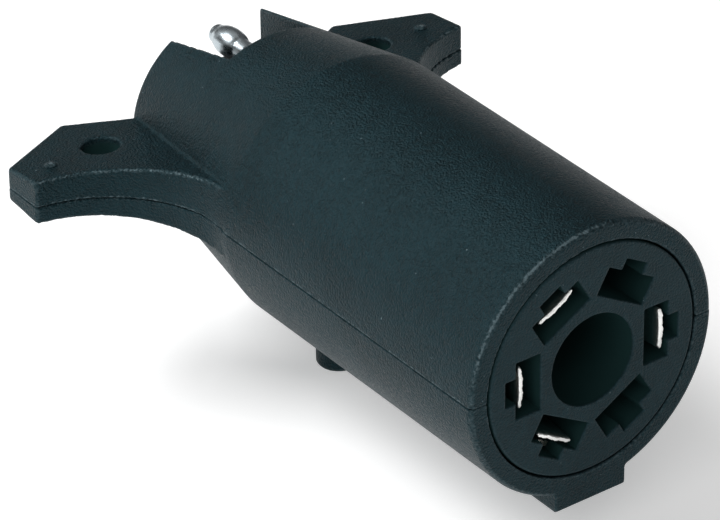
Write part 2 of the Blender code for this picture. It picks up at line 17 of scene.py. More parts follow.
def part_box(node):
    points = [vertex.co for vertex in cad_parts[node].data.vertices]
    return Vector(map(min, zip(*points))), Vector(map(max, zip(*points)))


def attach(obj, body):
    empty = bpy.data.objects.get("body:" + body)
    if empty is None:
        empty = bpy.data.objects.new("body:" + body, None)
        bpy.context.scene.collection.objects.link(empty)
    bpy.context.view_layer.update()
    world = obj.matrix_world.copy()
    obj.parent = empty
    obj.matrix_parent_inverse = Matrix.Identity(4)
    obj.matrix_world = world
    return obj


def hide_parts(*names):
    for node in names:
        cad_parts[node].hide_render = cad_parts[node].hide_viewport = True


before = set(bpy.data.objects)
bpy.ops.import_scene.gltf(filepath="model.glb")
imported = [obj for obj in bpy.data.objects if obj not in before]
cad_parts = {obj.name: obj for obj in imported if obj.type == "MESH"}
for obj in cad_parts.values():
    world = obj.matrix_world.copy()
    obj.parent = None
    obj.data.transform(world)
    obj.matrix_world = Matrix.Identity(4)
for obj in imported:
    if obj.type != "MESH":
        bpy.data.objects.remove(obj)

log = logging.getLogger("adapter")

MILLIMETRE = 0.001
Numbers = np.ndarray
Colour = tuple[float, float, float]
Pair = tuple[float, float]
Pairs = tuple[Pair, ...]


class Spots(NamedTuple):
    """The coordinates of points, in millimetres of the adapter's own frame."""

    x: Numbers
    y: Numbers
    z: Numbers


Field = Callable[[Spots], Numbers]


# ---- names

class Slot(Enum):
    """The material slots of the record."""

    HOUSING = "black_housing"
    INSERT = "black_insert"
    RUBBER = "black_rubber"
    BRASS = "tinned_brass"
    NICKEL = "bright_nickel"


class Circuit(Enum):
    """The four circuits: name, clock angle of the blade slot, rear terminal from the top."""

    GROUND = ("ground", 330, 0)
    TAIL = ("tail", 210, 1)
    LEFT = ("left", 270, 2)
    RIGHT = ("right", 90, 3)

    @property
    def word(self) -> str:
        """The circuit's name in the names of its pieces."""
        return self.value[0]

    @property
    def clock(self) -> float:
        """The clock angle of its slot in radians, from the top towards +X."""
        return math.radians(self.value[1])

    @property
    def height(self) -> float:
        """The height of its rear terminal over the body's axis."""
        return TERMINALS.top - TERMINALS.pitch * self.value[2]


# ---- sizes

@dataclass(frozen=True)
class BodySizes:
    """The outside and the hollow of the two shells."""

    nose: float = 22.25
    nose_edge: float = 0.9
    cone_start: float = 60.4
    end: float = 94.4
    end_radius: float = 16.3
    end_edge: float = 0.5
    seam: float = 0.03
    seam_edge: float = 0.08
    proud: float = 0.05
    bore: float = 19.15
    collar: tuple[float, float, float] = (31.0, 35.3, 20.5)
    plate_seat: Pair = (37.7, 19.6)
    wire_space: float = 19.0
    hollow_end: Pair = (91.2, 13.6)
    bulkhead: Pair = (73.0, 76.0)
    fillet: float = 0.5
    lip: float = 0.35
    hollow_lip: float = 0.2
    seat_lip: float = 0.15


@dataclass(frozen=True)
class NotchSizes:
    """The notch over the bare pin, flared towards the rear end."""

    start: float = 79.0
    half_front: float = 7.9
    half_end: float = 8.4
    floor: float = 8.0
    wall: float = 1.9
    lip: float = 0.25


@dataclass(frozen=True)
class EarSizes:
    """The flat ears, with a hole and a melted stake each."""

    tip: float = 40.7
    arc: tuple[float, float, float] = (42.8, 63.0, 21.3)
    root: Pair = (20.0, 56.0)
    tip_end: Pair = (40.7, 92.2)
    corner: Pair = (26.1, 99.7)
    root_end: Pair = (16.3, 93.5)
    top: float = 4.33
    top_slope: float = -0.123
    bottom: float = -2.75
    bottom_slope: float = 0.105
    level: float = 84.8
    edge: float = 0.6
    lower_edge: float = 0.25
    corner_edge: float = 0.6
    tip_edge: float = 0.4
    hole: tuple[float, float, float] = (25.95, 88.5, 3.0)
    stake: tuple[float, float, float] = (35.4, 88.15, 1.0)
    stake_gap: float = 0.05
    stake_top: float = 3.2
    stake_foot: float = -1.2
    stake_head: Pair = (1.1, 0.4)
    head_gap: float = 0.02
    shade_reach: float = 0.1
    shade_start: float = 0.5
    shade_fade: float = 0.8

    def top_at(self, y: Any) -> Any:
        """The height of the top face at a place along the body."""
        return self.top + self.top_slope * (y - self.level)

    def bottom_at(self, y: Any) -> Any:
        """The height of the bottom face at a place along the body."""
        return self.bottom + self.bottom_slope * (y - self.level)


@dataclass(frozen=True)
class WearAndHighlightSizes:
    """Where the shells are painted pale, as wear and a painted highlight on the nose's rim and as
    painted highlights along the split, the ears' arc edges and the stake crowns: how far in, how
    wide, and where it stops.
    """

    rim: tuple[float, float, float] = (0.2, 0.3, 0.38)
    rim_clock: Pair = (-40.0, 62.0)
    split: Pair = (0.3, 0.3)
    split_depth: float = 0.5
    split_share: float = 0.75
    arc: Pair = (0.15, 0.3)
    arc_start: float = 66.0
    arc_share: float = 0.85
    crown: Pair = (0.1, 0.5)


@dataclass(frozen=True)
class KeySizes:
    """The key under the nose and the round catch for the socket's lid."""

    half: float = 6.5
    bottom: float = -24.2
    length: float = 34.0
    ramp: float = 4.0
    height: float = 5.0
    edge: float = 0.2
    catch_y: float = 62.8
    catch_radius: float = 3.55
    catch_bottom: float = -32.45
    catch_edge: float = 0.6
    fillet: float = 0.3


@dataclass(frozen=True)
class InsertSizes:
    """The plug's face, with six T-shaped slots around a centre hole."""

    radius: float = 18.85
    edge: float = 0.4
    collar: tuple[float, float, float] = (31.3, 35.0, 20.2)
    hole: float = 7.45
    hole_depth: float = 26.0
    slot: tuple[float, float, float] = (9.6, 14.0, 4.75)
    tab: Pair = (15.9, 2.1)
    slot_count: int = 6
    lip: float = 0.22
    # where the painted shade behind the face starts and over what depth it comes in
    dark_start: float = 0.12
    dark_fade: float = 0.25


@dataclass(frozen=True)
class LeafSizes:
    """A contact's bowed spring leaf."""

    front: float = 0.2
    root: float = 23.7
    radial: float = 12.95
    bow: float = 0.75
    thickness: float = 0.7
    half: float = 3.5
    rounding: float = 0.4
    ragged: float = 0.07
    # where the painted shade on the leaf starts
    dark_start: float = 0.5


@dataclass(frozen=True)
class BlockSizes:
    """The rubber block that holds the rear terminals."""

    half: float = 4.7
    front: float = 70.0
    end: float = 94.0
    bottom: float = -15.2
    top: float = 15.4
    flange: Pair = (6.0, 72.7)
    ridge: tuple[float, float, float, float] = (76.3, 78.3, -10.0, -1.5)
    lip: float = 0.35
    gap: float = 0.3


@dataclass(frozen=True)
class TerminalSizes:
    """The bullet pin, the tube sockets and the barrels in front of them."""

    top: float = 12.4
    pitch: float = 8.0
    barrel: tuple[float, float, float, float] = (63.5, 69.4, 1.9, 1.55)
    barrel_floor: float = 1.2
    shank: float = 1.7
    shank_hole: float = 2.2
    socket: tuple[float, float, float, float] = (80.5, 92.6, 2.75, 2.3)
    socket_bore: float = 3.05
    socket_floor: float = 1.0
    pin: Pair = (84.4, 2.3)
    neck: Pairs = ((85.2, 1.75), (87.5, 1.75))
    head: Pairs = (
        (88.2, 2.1), (89.0, 2.3), (89.8, 2.39), (90.6, 2.38), (91.4, 2.31), (92.1, 2.14),
        (92.7, 1.9), (93.2, 1.68), (93.6, 1.59), (94.0, 1.55), (94.3, 1.36), (94.4, 1.0),
        (94.35, 0.6), (94.3, 0.0))


BODY = BodySizes()
NOTCH = NotchSizes()
EAR = EarSizes()
WEAR_AND_HIGHLIGHT = WearAndHighlightSizes()
KEY = KeySizes()
INSERT = InsertSizes()
LEAF = LeafSizes()
BLOCK = BlockSizes()
TERMINALS = TerminalSizes()


@dataclass(frozen=True)
class Place:
    """Where the adapter's own frame lies in the world, read from the frame's parts."""

    origin: Vector

    @classmethod
    def of_frame(cls) -> "Place":
        """Reads the plug face and the body's axis from the insert's box.

        Returns:
            The place of the adapter's own origin.
        """
        low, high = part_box("plug_insert")
        return cls(Vector(((low.x + high.x) / 2, low.y, (low.z + high.z) / 2)))

    def point(self, x: float, y: float, z: float) -> Vector:
        """The world point of a point of the adapter's own frame."""
        return self.origin + Vector((x, y, z)) * MILLIMETRE

    def matrix(self, clock: float = 0.0) -> Matrix:
        """Brings a shape made at twelve o'clock to a clock angle and into the world.

        Args:
            clock: the angle about the body's axis in radians.

        Returns:
            The matrix from the adapter's millimetres to the world's metres.
        """
        turn = Matrix.Rotation(clock, 4, "Y")
        return Matrix.Translation(self.origin) @ Matrix.Scale(MILLIMETRE, 4) @ turn


def linked(name: str, data: bpy.types.ID) -> bpy.types.Object:
    """A new object of the scene around a mesh, a lamp or a camera.

    Args:
        name: the name of the object.
        data: what the object holds.

    Returns:
        The object.
    """
    made = bpy.data.objects.new(name, data)
    bpy.context.collection.objects.link(made)
    return made


# ---- distance fields

def meet(first: Numbers, second: Numbers, edge: float = 0.0) -> Numbers:
    """The common part of two shapes given by their distances.

    Args:
        first: signed distances to one shape, negative inside it.
        second: signed distances to the other shape.
        edge: the radius that rounds the edge between them.

    Returns:
        Signed distances to the common part.
    """
    if edge == 0.0:
        return np.maximum(first, second)
    outside = np.hypot(np.maximum(first + edge, 0.0), np.maximum(second + edge, 0.0))
    return np.minimum(-edge, np.maximum(first, second)) + outside


def unite(first: Numbers, second: Numbers, fillet: float = 0.0) -> Numbers:
    """Both shapes together, with a fillet between them."""
    return -meet(-first, -second, fillet)


def carve(shape: Numbers, hole: Numbers, edge: float = 0.0) -> Numbers:
    """A shape less a hole, with the hole's edge rounded."""
    return meet(shape, -hole, edge)


def slab(along: Numbers, low: float, high: float) -> Numbers:
    """Distances to the space between two parallel planes."""
    return np.abs(along - (low + high) / 2) - (high - low) / 2


def rod(across: Numbers, up: Numbers, radius: float, x: float = 0.0, y: float = 0.0) -> Numbers:
    """Distances to a round bar through the plane of two coordinates."""
    return np.hypot(across - x, up - y) - radius


def beside(x: Numbers, y: Numbers, first: Pair, second: Pair) -> Numbers:
    """Distances to the left side of the line from the first point to the second.

    Args:
        x: first coordinates of the points to measure.
        y: second coordinates of the points to measure.
        first: a point of the line.
        second: a later point of the line.

    Returns:
        Signed distances, negative to the left of the line.
    """
    step = Vector(second) - Vector(first)
    side = Vector((step.y, -step.x)).normalized()
    return (x - first[0]) * side.x + (y - first[1]) * side.y


def fade(off: Numbers, width: float) -> Numbers:
    """A bell-shaped fall from 1 on a line to nearly nothing at twice the width from it."""
    return np.exp(-(off / width) ** 2)


def ruler(stops: Pairs) -> Numbers:
    """Grid lines between stops.

    Args:
        stops: the place of each stop and the spacing up to the next.

    Returns:
        The places of all lines.
    """
    lines: list[Numbers] = []
    for (start, spacing), (end, _) in zip(stops, stops[1:]):
        count = max(1, round((end - start) / spacing))
        lines.append(np.linspace(start, end, count, endpoint=False))
    lines.append(np.array([stops[-1][0]]))
    return np.concatenate(lines)


class Sculptor:
    """Turns a distance field into a mesh whose points and normals lie on the true surface.

    A mark is a further function of the place, which is stored on the points under its name.
    """

    SETTLING = 3
    REACH = 0.6
    FLATTEST = 0.25
    NORMAL_STEP = 0.03
    EDGE_STEP = 0.45
    EDGE_BEND = 1.1

    def __init__(self, shape: Field, x: Numbers, y: Numbers, z: Numbers, **marks: Field) -> None:
        """Keeps the field, the grid lines along each axis and the marks.

        Args:
            shape: the distance field.
            x: the grid lines across.
            y: the grid lines along the body.
            z: the grid lines upwards.
            marks: further functions of the place.
        """
        self.shape = shape
        self.axes = (x, y, z)
        self.marks = marks

    def around(self, points: Numbers, step: float) -> Iterator[tuple[Numbers, Numbers]]:
        """The field a step ahead of the points and a step behind them, for each axis in turn."""
        for shift in np.eye(3) * step:
            yield self.shape(Spots(*(points + shift).T)), self.shape(Spots(*(points - shift).T))

    def slope(self, points: Numbers) -> Numbers:
        """The field's slope vectors at points, one a row.

        Args:
            points: one point a row.

        Returns:
            One slope vector a row.
        """
        step = self.NORMAL_STEP
        slopes = [(ahead - behind) / (2 * step) for ahead, behind in self.around(points, step)]
        return np.stack(slopes, axis=1)

    def bend(self, points: Numbers) -> Numbers:
        """How sharply the surface turns outwards, from 0 on a face to 1 on a sharp edge.

        Args:
            points: one point a row.

        Returns:
            One number a point.
        """
        total = -6 * self.shape(Spots(*points.T))
        for ahead, behind in self.around(points, self.EDGE_STEP):
            total = total + ahead + behind
        return np.clip(total / (self.EDGE_STEP ** 2 * self.EDGE_BEND), 0.0, 1.0)

    def cells(self) -> tuple[Numbers, Numbers, Numbers]:
        """Finds the cells that the surface passes through.

        Returns:
            The field on the grid, each such cell's place in the grid, and the cell's number there.
        """
        x, y, z = self.axes
        values = self.shape(Spots(x[:, None, None], y[None, :, None], z[None, None, :]))
        inside = values < 0.0
        count = np.zeros([side - 1 for side in values.shape], dtype=np.int8)
        for corner in np.ndindex(2, 2, 2):
            window = tuple(slice(c, c - 1 or None) for c in corner)
            count += inside[window]
        found = np.argwhere((count > 0) & (count < 8))
        number = np.full(count.shape, -1, dtype=np.int64)
        number[tuple(found.T)] = np.arange(len(found))
        return values, found, number

    def corners(self, values: Numbers, found: Numbers) -> Numbers:
        """The middle of the places where the surface crosses each cell's edges.

        Args:
            values: the field on the grid.
            found: each cell's place in the grid.

        Returns:
            One point a cell.
        """
        total = np.zeros((len(found), 3))
        crossings = np.zeros(len(found))
        for axis in range(3):
            others = [other for other in range(3) if other != axis]
            for offsets in np.ndindex(2, 2):
                first = found.copy()
                first[:, others[0]] += offsets[0]
                first[:, others[1]] += offsets[1]
                second = first.copy()
                second[:, axis] += 1
                low = values[tuple(first.T)]
                high = values[tuple(second.T)]
                crossed = (low < 0.0) != (high < 0.0)
                part = np.where(crossed, low / np.where(crossed, low - high, 1.0), 0.0)
                start = np.stack([self.axes[side][first[:, side]] for side in range(3)], axis=1)
                start[:, axis] += part * (self.axes[axis][second[:, axis]] - start[:, axis])
                total += start * crossed[:, None]
                crossings += crossed
        return total / crossings[:, None]

    def quads(self, values: Numbers, number: Numbers) -> Numbers:
        """Joins the four cells around each crossed grid edge, facing outwards.

        Args:
            values: the field on the grid.
            number: each cell's number, by its place in the grid.

        Returns:
            The four cell numbers of each face.
        """
        inside = values < 0.0
        found = []
        for axis in range(3):
            second, third = (axis + 1) % 3, (axis + 2) % 3
            low = np.moveaxis(inside, (axis, second, third), (0, 1, 2))
            cell = np.moveaxis(number, (axis, second, third), (0, 1, 2))
            start = low[:-1, 1:-1, 1:-1]
            end = low[1:, 1:-1, 1:-1]
            ring = [cell[:, :-1, :-1], cell[:, 1:, :-1], cell[:, 1:, 1:], cell[:, :-1, 1:]]
            for crossed, order in ((start & ~end, (0, 1, 2, 3)), (~start & end, (3, 2, 1, 0))):
                found.append(np.stack([ring[turn][crossed] for turn in order], axis=1))
        return np.concatenate(found)

    def settle(self, points: Numbers, found: Numbers) -> Numbers:
        """Moves the points onto the surface, each within reach of its own cell.

        Args:
            points: one point a row.
            found: the cell of each point.

        Returns:
            The moved points.
        """
        sides = [np.diff(self.axes[side])[found[:, side]] for side in range(3)]
        reach = self.REACH * np.stack(sides, axis=1)
        home = points
        for _ in range(self.SETTLING):
            slopes = self.slope(points)
            size = np.maximum((slopes * slopes).sum(axis=1), self.FLATTEST)
            points = points - slopes * (self.shape(Spots(*points.T)) / size)[:, None]
            points = np.clip(points, home - reach, home + reach)
        return points

    def mesh(self, name: str, matrix: Matrix) -> bpy.types.Object:
        """Makes the piece.

        Args:
            name: the piece's name.
            matrix: brings the field's millimetres to the world.

        Returns:
            The piece, with its place in its mesh and an "edge" attribute on its points.
        """
        values, found, number = self.cells()
        points = self.settle(self.corners(values, found), found)
        slopes = self.slope(points)
        normals = slopes / np.maximum(np.linalg.norm(slopes, axis=1), 1e-6)[:, None]
        made = bpy.data.meshes.new(name)
        verts = points * MILLIMETRE + np.array(matrix.translation)
        made.from_pydata(verts, [], self.quads(values, number))
        made.validate()
        made.shade_smooth()
        made.normals_split_custom_set_from_vertices(normals.tolist())
        stored = {mark_name: mark(Spots(*points.T)) for mark_name, mark in self.marks.items()}
        for mark_name, numbers in {"edge": self.bend(points), **stored}.items():
            attribute = made.attributes.new(mark_name, "FLOAT", "POINT")
            attribute.data.foreach_set("value", numbers.astype(np.float32))
        return linked(name, made)


# ---- nodes

class Value:
    """A socket that takes Python's operators, each of which adds a Math node to its tree."""

    def __init__(self, maker: "NodeMaker", socket: bpy.types.NodeSocket) -> None:
        """Keeps the socket and the maker of its tree."""
        self.maker = maker
        self.socket = socket

    def math(self, operation: str, *others: Any, swapped: bool = False) -> "Value":
        """Adds one Math node.

        Args:
            operation: the node's operation.
            others: the further values or numbers that it takes.
            swapped: whether this value comes second.

        Returns:
            The node's result.
        """
        terms = [self, *others]
        if swapped:
            terms.reverse()
        return self.maker.add("ShaderNodeMath", {"operation": operation}, dict(enumerate(terms)))

    def __add__(self, other: Any) -> "Value":
        """The sum."""
        return self.math("ADD", other)

    __radd__ = __add__

    def __mul__(self, other: Any) -> "Value":
        """The product."""
        return self.math("MULTIPLY", other)

    __rmul__ = __mul__

    def __sub__(self, other: Any) -> "Value":
        """The difference."""
        return self.math("SUBTRACT", other)

    def __rsub__(self, other: Any) -> "Value":
        """The difference from a number."""
        return self.math("SUBTRACT", other, swapped=True)

    def __pow__(self, other: Any) -> "Value":
        """The power."""
        return self.math("POWER", other)

    def rise(self, low: float, high: float) -> "Value":
        """A smooth rise from 0 at the low value to 1 at the high one.

        Args:
            low: where the rise starts.
            high: where it ends.

        Returns:
            The risen value.
        """
        settings = {"interpolation_type": "SMOOTHSTEP"}
        inputs = {"Value": self, "From Min": low, "From Max": high}
        return self.maker.add("ShaderNodeMapRange", settings, inputs)


class NodeMaker:
    """Adds nodes to one tree."""

    def __init__(self, tree: bpy.types.NodeTree) -> None:
        """Keeps the tree."""
        self.tree = tree

    def add(self, kind: str, settings: Optional[dict[str, Any]] = None,
            inputs: Optional[dict[Any, Any]] = None, output: Any = 0) -> Value:
        """Adds a node of any kind.

        Args:
            kind: the node's type.
            settings: the node's properties, set first.
            inputs: a value, number, colour or vector for each named or numbered socket.
            output: the name or number of the socket wanted.

        Returns:
            The wanted output.
        """
        node = self.tree.nodes.new(kind)
        for name, setting in (settings or {}).items():
            setattr(node, name, setting)
        for name, value in (inputs or {}).items():
            if isinstance(value, Value):
                self.tree.links.new(value.socket, node.inputs[name])
            else:
                node.inputs[name].default_value = value
        return Value(self, node.outputs[output] if len(node.outputs) else node.inputs[0])

    def mix(self, factor: Any, first: Any, second: Any) -> Value:
        """A mix of two colours; a Mix node's colour sockets are reached by number."""
        return self.add("ShaderNodeMix", {"data_type": "RGBA"}, {0: factor, 6: first, 7: second}, 2)

    def axes(self, vector: Value) -> tuple[Value, Value, Value]:
        """The three numbers of a vector."""
        parts = self.add("ShaderNodeSeparateXYZ", {}, {0: vector}).socket.node
        return tuple(Value(self, parts.outputs[axis]) for axis in "XYZ")

    def noise(self, size: float, detail: float, stretch: float = 1.0) -> Value:
        """Noise on the object's own coordinates.

        Args:
            size: the size of its features in metres.
            detail: how many finer layers it has.
            stretch: how much longer the features are along the body.

        Returns:
            The noise, around 0.5.
        """
        place = self.add("ShaderNodeTexCoord", output="Object")
        scale = (1.0 / size, 1.0 / (size * stretch), 1.0 / size)
        mapped = self.add("ShaderNodeMapping", {}, {"Vector": place, "Scale": scale})
        inputs = {"Vector": mapped, "Scale": 1.0, "Detail": detail}
        return self.add("ShaderNodeTexNoise", {}, inputs, "Fac")

    def attribute(self, name: str) -> Value:
        """A number stored on the piece's points."""
        return self.add("ShaderNodeAttribute", {"attribute_name": name}, output="Fac")


def lift(colour: Colour, by: float = 1.0) -> tuple[float, float, float, float]:
    """A colour made lighter or darker, with full opacity."""
    return (colour[0] * by, colour[1] * by, colour[2] * by, 1.0)


class Finish:
    """One procedural material; the kinds below say how its shader varies."""

    # the colour of the painted shade in holes, slots and behind the leaves' fronts
    SHADOW = (0.012, 0.032, 0.032)

    def paint(self, nodes: NodeMaker, shader: bpy.types.Node) -> None:
        """Adds the finish's own nodes and settings to the shader."""
        raise NotImplementedError

    def material(self, name: str) -> bpy.types.Material:
        """A new material of this finish.

        Args:
            name: the material's name.

        Returns:
            The material.
        """
        made = bpy.data.materials.new(name)
        made.use_nodes = True
        self.paint(NodeMaker(made.node_tree), made.node_tree.nodes["Principled BSDF"])
        return made

    @staticmethod
    def feed(nodes: NodeMaker, shader: bpy.types.Node, base: Value, shine: Value, height: Value,
             depth: float) -> None:
        """Links what varies over the surface to the shader.

        Args:
            nodes: the maker of the material's nodes.
            shader: the material's shader.
            base: the base colour.
            shine: the roughness.
            height: the relief's height, around 0.5.
            depth: the depth of a height of 1 in metres.
        """
        relief = nodes.add("ShaderNodeBump", {}, {"Height": height, "Distance": depth}, "Normal")
        for name, value in (("Base Color", base), ("Roughness", shine), ("Normal", relief)):
            nodes.tree.links.new(value.socket, shader.inputs[name])

    @classmethod
    def darken(cls, nodes: NodeMaker, shader: bpy.types.Node) -> None:
        """Mixes in a lightless shader as painted shade where a point lies deep behind the surface,
        by the point's painted-shade mark.

        Args:
            nodes: the maker of the material's nodes.
            shader: the material's shader.
        """
        shadow = {"Base Color": lift(cls.SHADOW), "Roughness": 1.0, "Specular IOR Level": 0.0}
        dark = nodes.add("ShaderNodeBsdfPrincipled", {}, shadow, "BSDF")
        blend = nodes.add("ShaderNodeMixShader", {}, {
            0: nodes.attribute("painted_shade"), 1: Value(nodes, shader.outputs["BSDF"]), 2: dark}, "Shader")
        nodes.tree.links.new(blend.socket, nodes.tree.nodes["Material Output"].inputs["Surface"])


@dataclass(frozen=True)
class MouldedPlastic(Finish):
    """Grained moulded plastic: paler along edges that wear, with painted highlights (on the nose's
    rim also wear) along marked edges, and painted shade in its recesses.
    """

    colour: Colour
    roughness: float
    grain_depth: float = 0.00032
    wear: float = 1.0
    specks: float = 1.0
    grain: float = 0.00036
    mottle: float = 0.0013
    cloud: float = 0.012
    scuff: float = 0.0005
    speck: float = 0.0006
    contrast: Pair = (0.1, 1.9)
    # the pale colour of edge wear, of the painted highlights and, lighter, of the specks
    pale_wear_and_highlight: Colour = (0.11, 0.15, 0.165)
    specular: float = 0.26
    tint: Colour = (0.42, 0.86, 1.0)

    def paint(self, nodes: NodeMaker, shader: bpy.types.Node) -> None:
        """Grain, mottling, edge wear, painted highlights, a few pale specks and painted shade in
        recesses.

        Args:
            nodes: the maker of the material's nodes.
            shader: the material's shader.
        """
        fine = nodes.noise(self.grain, 2.0)
        coarse = nodes.noise(self.mottle, 3.0)
        broad = nodes.noise(self.cloud, 3.0)
        tone = fine.rise(0.28, 0.72) * 0.5 + coarse.rise(0.3, 0.7) * 0.3
        tone = tone + broad.rise(0.3, 0.7) * 0.2
        base = nodes.mix(tone, *(lift(self.colour, by) for by in self.contrast))
        scuff = nodes.noise(self.scuff, 4.0) - 0.5
        rim = (nodes.attribute("edge") * 0.9 + scuff * 1.4 - 0.45).rise(0.1, 0.9) * self.wear * 0.35
        # painted highlights along the split, the ears' arc edges and the stake crowns, and wear
        # with a painted highlight on the nose's rim
        fray_and_highlight = ((nodes.attribute("rub") - 0.42) * 1.5 + scuff * 2.4).rise(0.1, 0.9) * 0.85
        base = nodes.mix(rim.math("MAXIMUM", fray_and_highlight), base, lift(self.pale_wear_and_highlight))
        dust = nodes.noise(self.speck, 1.0).rise(0.78, 0.84) * self.specks
        base = nodes.mix(dust, base, lift(self.pale_wear_and_highlight, 1.2))
        shine = self.roughness + (fine - 0.5) * 0.5 + (coarse - 0.5) * 0.15
        self.feed(nodes, shader, base, shine, fine + coarse * 0.25, self.grain_depth)
        shader.inputs["Specular IOR Level"].default_value = self.specular
        shader.inputs["Specular Tint"].default_value = lift(self.tint)
        # painted shade where the piece's points are marked as lying deep
        self.darken(nodes, shader)


@dataclass(frozen=True)
class MouldedRubber(Finish):
    """Matt black rubber with a faint bloom."""

    colour: Colour = (0.014, 0.015, 0.016)
    roughness: float = 0.78
    texture: float = 0.0004
    bloom: float = 0.004
    depth: float = 0.00003
    specular: float = 0.35

    def paint(self, nodes: NodeMaker, shader: bpy.types.Node) -> None:
        """A soft mottled bloom and a fine texture.

        Args:
            nodes: the maker of the material's nodes.
            shader: the material's shader.
        """
        fine = nodes.noise(self.texture, 3.0)
        bloom = nodes.noise(self.bloom, 4.0).rise(0.35, 0.75)
        base = nodes.mix(bloom, lift(self.colour), lift(self.colour, 2.1))
        self.feed(nodes, shader, base, self.roughness + (fine - 0.5) * 0.15, fine, self.depth)
        shader.inputs["Specular IOR Level"].default_value = self.specular


@dataclass(frozen=True)
class PlatedMetal(Finish):
    """Plated or tinned metal with drawing marks along its length and dull spots."""

    colour: Colour
    tarnish: Colour
    roughness: float
    line: float = 0.00022
    line_stretch: float = 18.0
    patch: float = 0.0013
    depth: float = 0.00002

    def paint(self, nodes: NodeMaker, shader: bpy.types.Node) -> None:
        """Fine lines along the body's axis, tarnish in patches, and painted shade where marked.

        Args:
            nodes: the maker of the material's nodes.
            shader: the material's shader.
        """
        lines = nodes.noise(self.line, 3.0, self.line_stretch)
        patches = nodes.noise(self.patch, 4.0)
        base = nodes.mix(patches.rise(0.5, 0.78) * 0.6, lift(self.colour), lift(self.tarnish))
        shine = self.roughness + (lines - 0.5) * 0.18 + patches.rise(0.45, 0.8) * 0.18
        self.feed(nodes, shader, base, shine, lines * 0.5 + patches * 0.5, self.depth)
        shader.inputs["Metallic"].default_value = 1.0
        # painted shade on the leaves behind their front edges
        self.darken(nodes, shader)


@dataclass(frozen=True)
class WireJacket(Finish):
    """The extruded jacket of a wire."""

    colour: Colour
    roughness: float = 0.42
    ripple: float = 0.0018
    ripple_stretch: float = 4.0
    depth: float = 0.00004

    def paint(self, nodes: NodeMaker, shader: bpy.types.Node) -> None:
        """Slight mottling and the faint ripple of the strands beneath.

        Args:
            nodes: the maker of the material's nodes.
            shader: the material's shader.
        """
        mottle = nodes.noise(self.ripple, 3.0, self.ripple_stretch)
        base = nodes.mix(mottle.rise(0.3, 0.7), lift(self.colour, 0.86), lift(self.colour, 1.06))
        self.feed(nodes, shader, base, self.roughness + (mottle - 0.5) * 0.2, mottle, self.depth)


class Paintbox:
    """All finishes, each made once."""

    JACKETS = {
        Circuit.GROUND: ("white", (0.80, 0.79, 0.76)),
        Circuit.TAIL: ("brown", (0.14, 0.06, 0.03)),
        Circuit.LEFT: ("yellow", (0.80, 0.55, 0.04)),
        Circuit.RIGHT: ("green", (0.03, 0.30, 0.07)),
    }

    def __init__(self) -> None:
        """Makes the materials."""
        nickel, tarnished_nickel = (0.88, 0.88, 0.86), (0.40, 0.40, 0.38)
        dull_nickel, tarnished_dull = (0.46, 0.52, 0.55), (0.24, 0.27, 0.29)
        tin, tarnished_tin = (0.74, 0.71, 0.64), (0.40, 0.34, 0.24)
        self.housing = MouldedPlastic((0.0034, 0.0112, 0.0142), 0.49).material("grained_housing")
        self.insert = MouldedPlastic((0.0046, 0.0126, 0.0156), 0.54, grain_depth=0.0002, wear=0.3,
                                     specks=0.5).material("satin_insert")
        self.rubber = MouldedRubber().material("moulded_rubber")
        self.nickel = PlatedMetal(nickel, tarnished_nickel, 0.32).material("bright_nickel_plate")
        self.bullet = PlatedMetal(dull_nickel, tarnished_dull, 0.27).material("dull_nickel_plate")
        self.tin = PlatedMetal(tin, tarnished_tin, 0.26).material("tinned_brass_plate")
        self.jackets = {circuit: WireJacket(colour).material("jacket_" + word)
                        for circuit, (word, colour) in self.JACKETS.items()}


def wear(piece: bpy.types.Object, finish: bpy.types.Material) -> None:
    """Gives a piece or a CAD node its only material."""
    piece.data.materials.clear()
    piece.data.materials.append(finish)


# ---- sub-assemblies

class SubAssembly:
    """A part of the adapter that is built and dressed as one."""

    ROOT = "adapter"

    def __init__(self, place: Place, paint: Paintbox) -> None:
        """Keeps the place and the finishes."""
        self.place = place
        self.paint = paint

    def build(self) -> list[bpy.types.Object]:
        """Makes and dresses the pieces, and returns them."""
        raise NotImplementedError

    @staticmethod
    def stand_in(piece: bpy.types.Object, node: str, finish: bpy.types.Material, slot: Slot,
                 body: str = ROOT) -> bpy.types.Object:
        """Puts a new piece in the place of a CAD node.

        Args:
            piece: the new piece.
            node: the CAD node that it stands for.
            finish: its material.
            slot: the record's material slot that the finish comes from; not used.
            body: the body that it moves with.

        Returns:
            The piece.
        """
        wear(piece, finish)
        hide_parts(node)
        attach(piece, body)
        return piece


# ---- terminal block

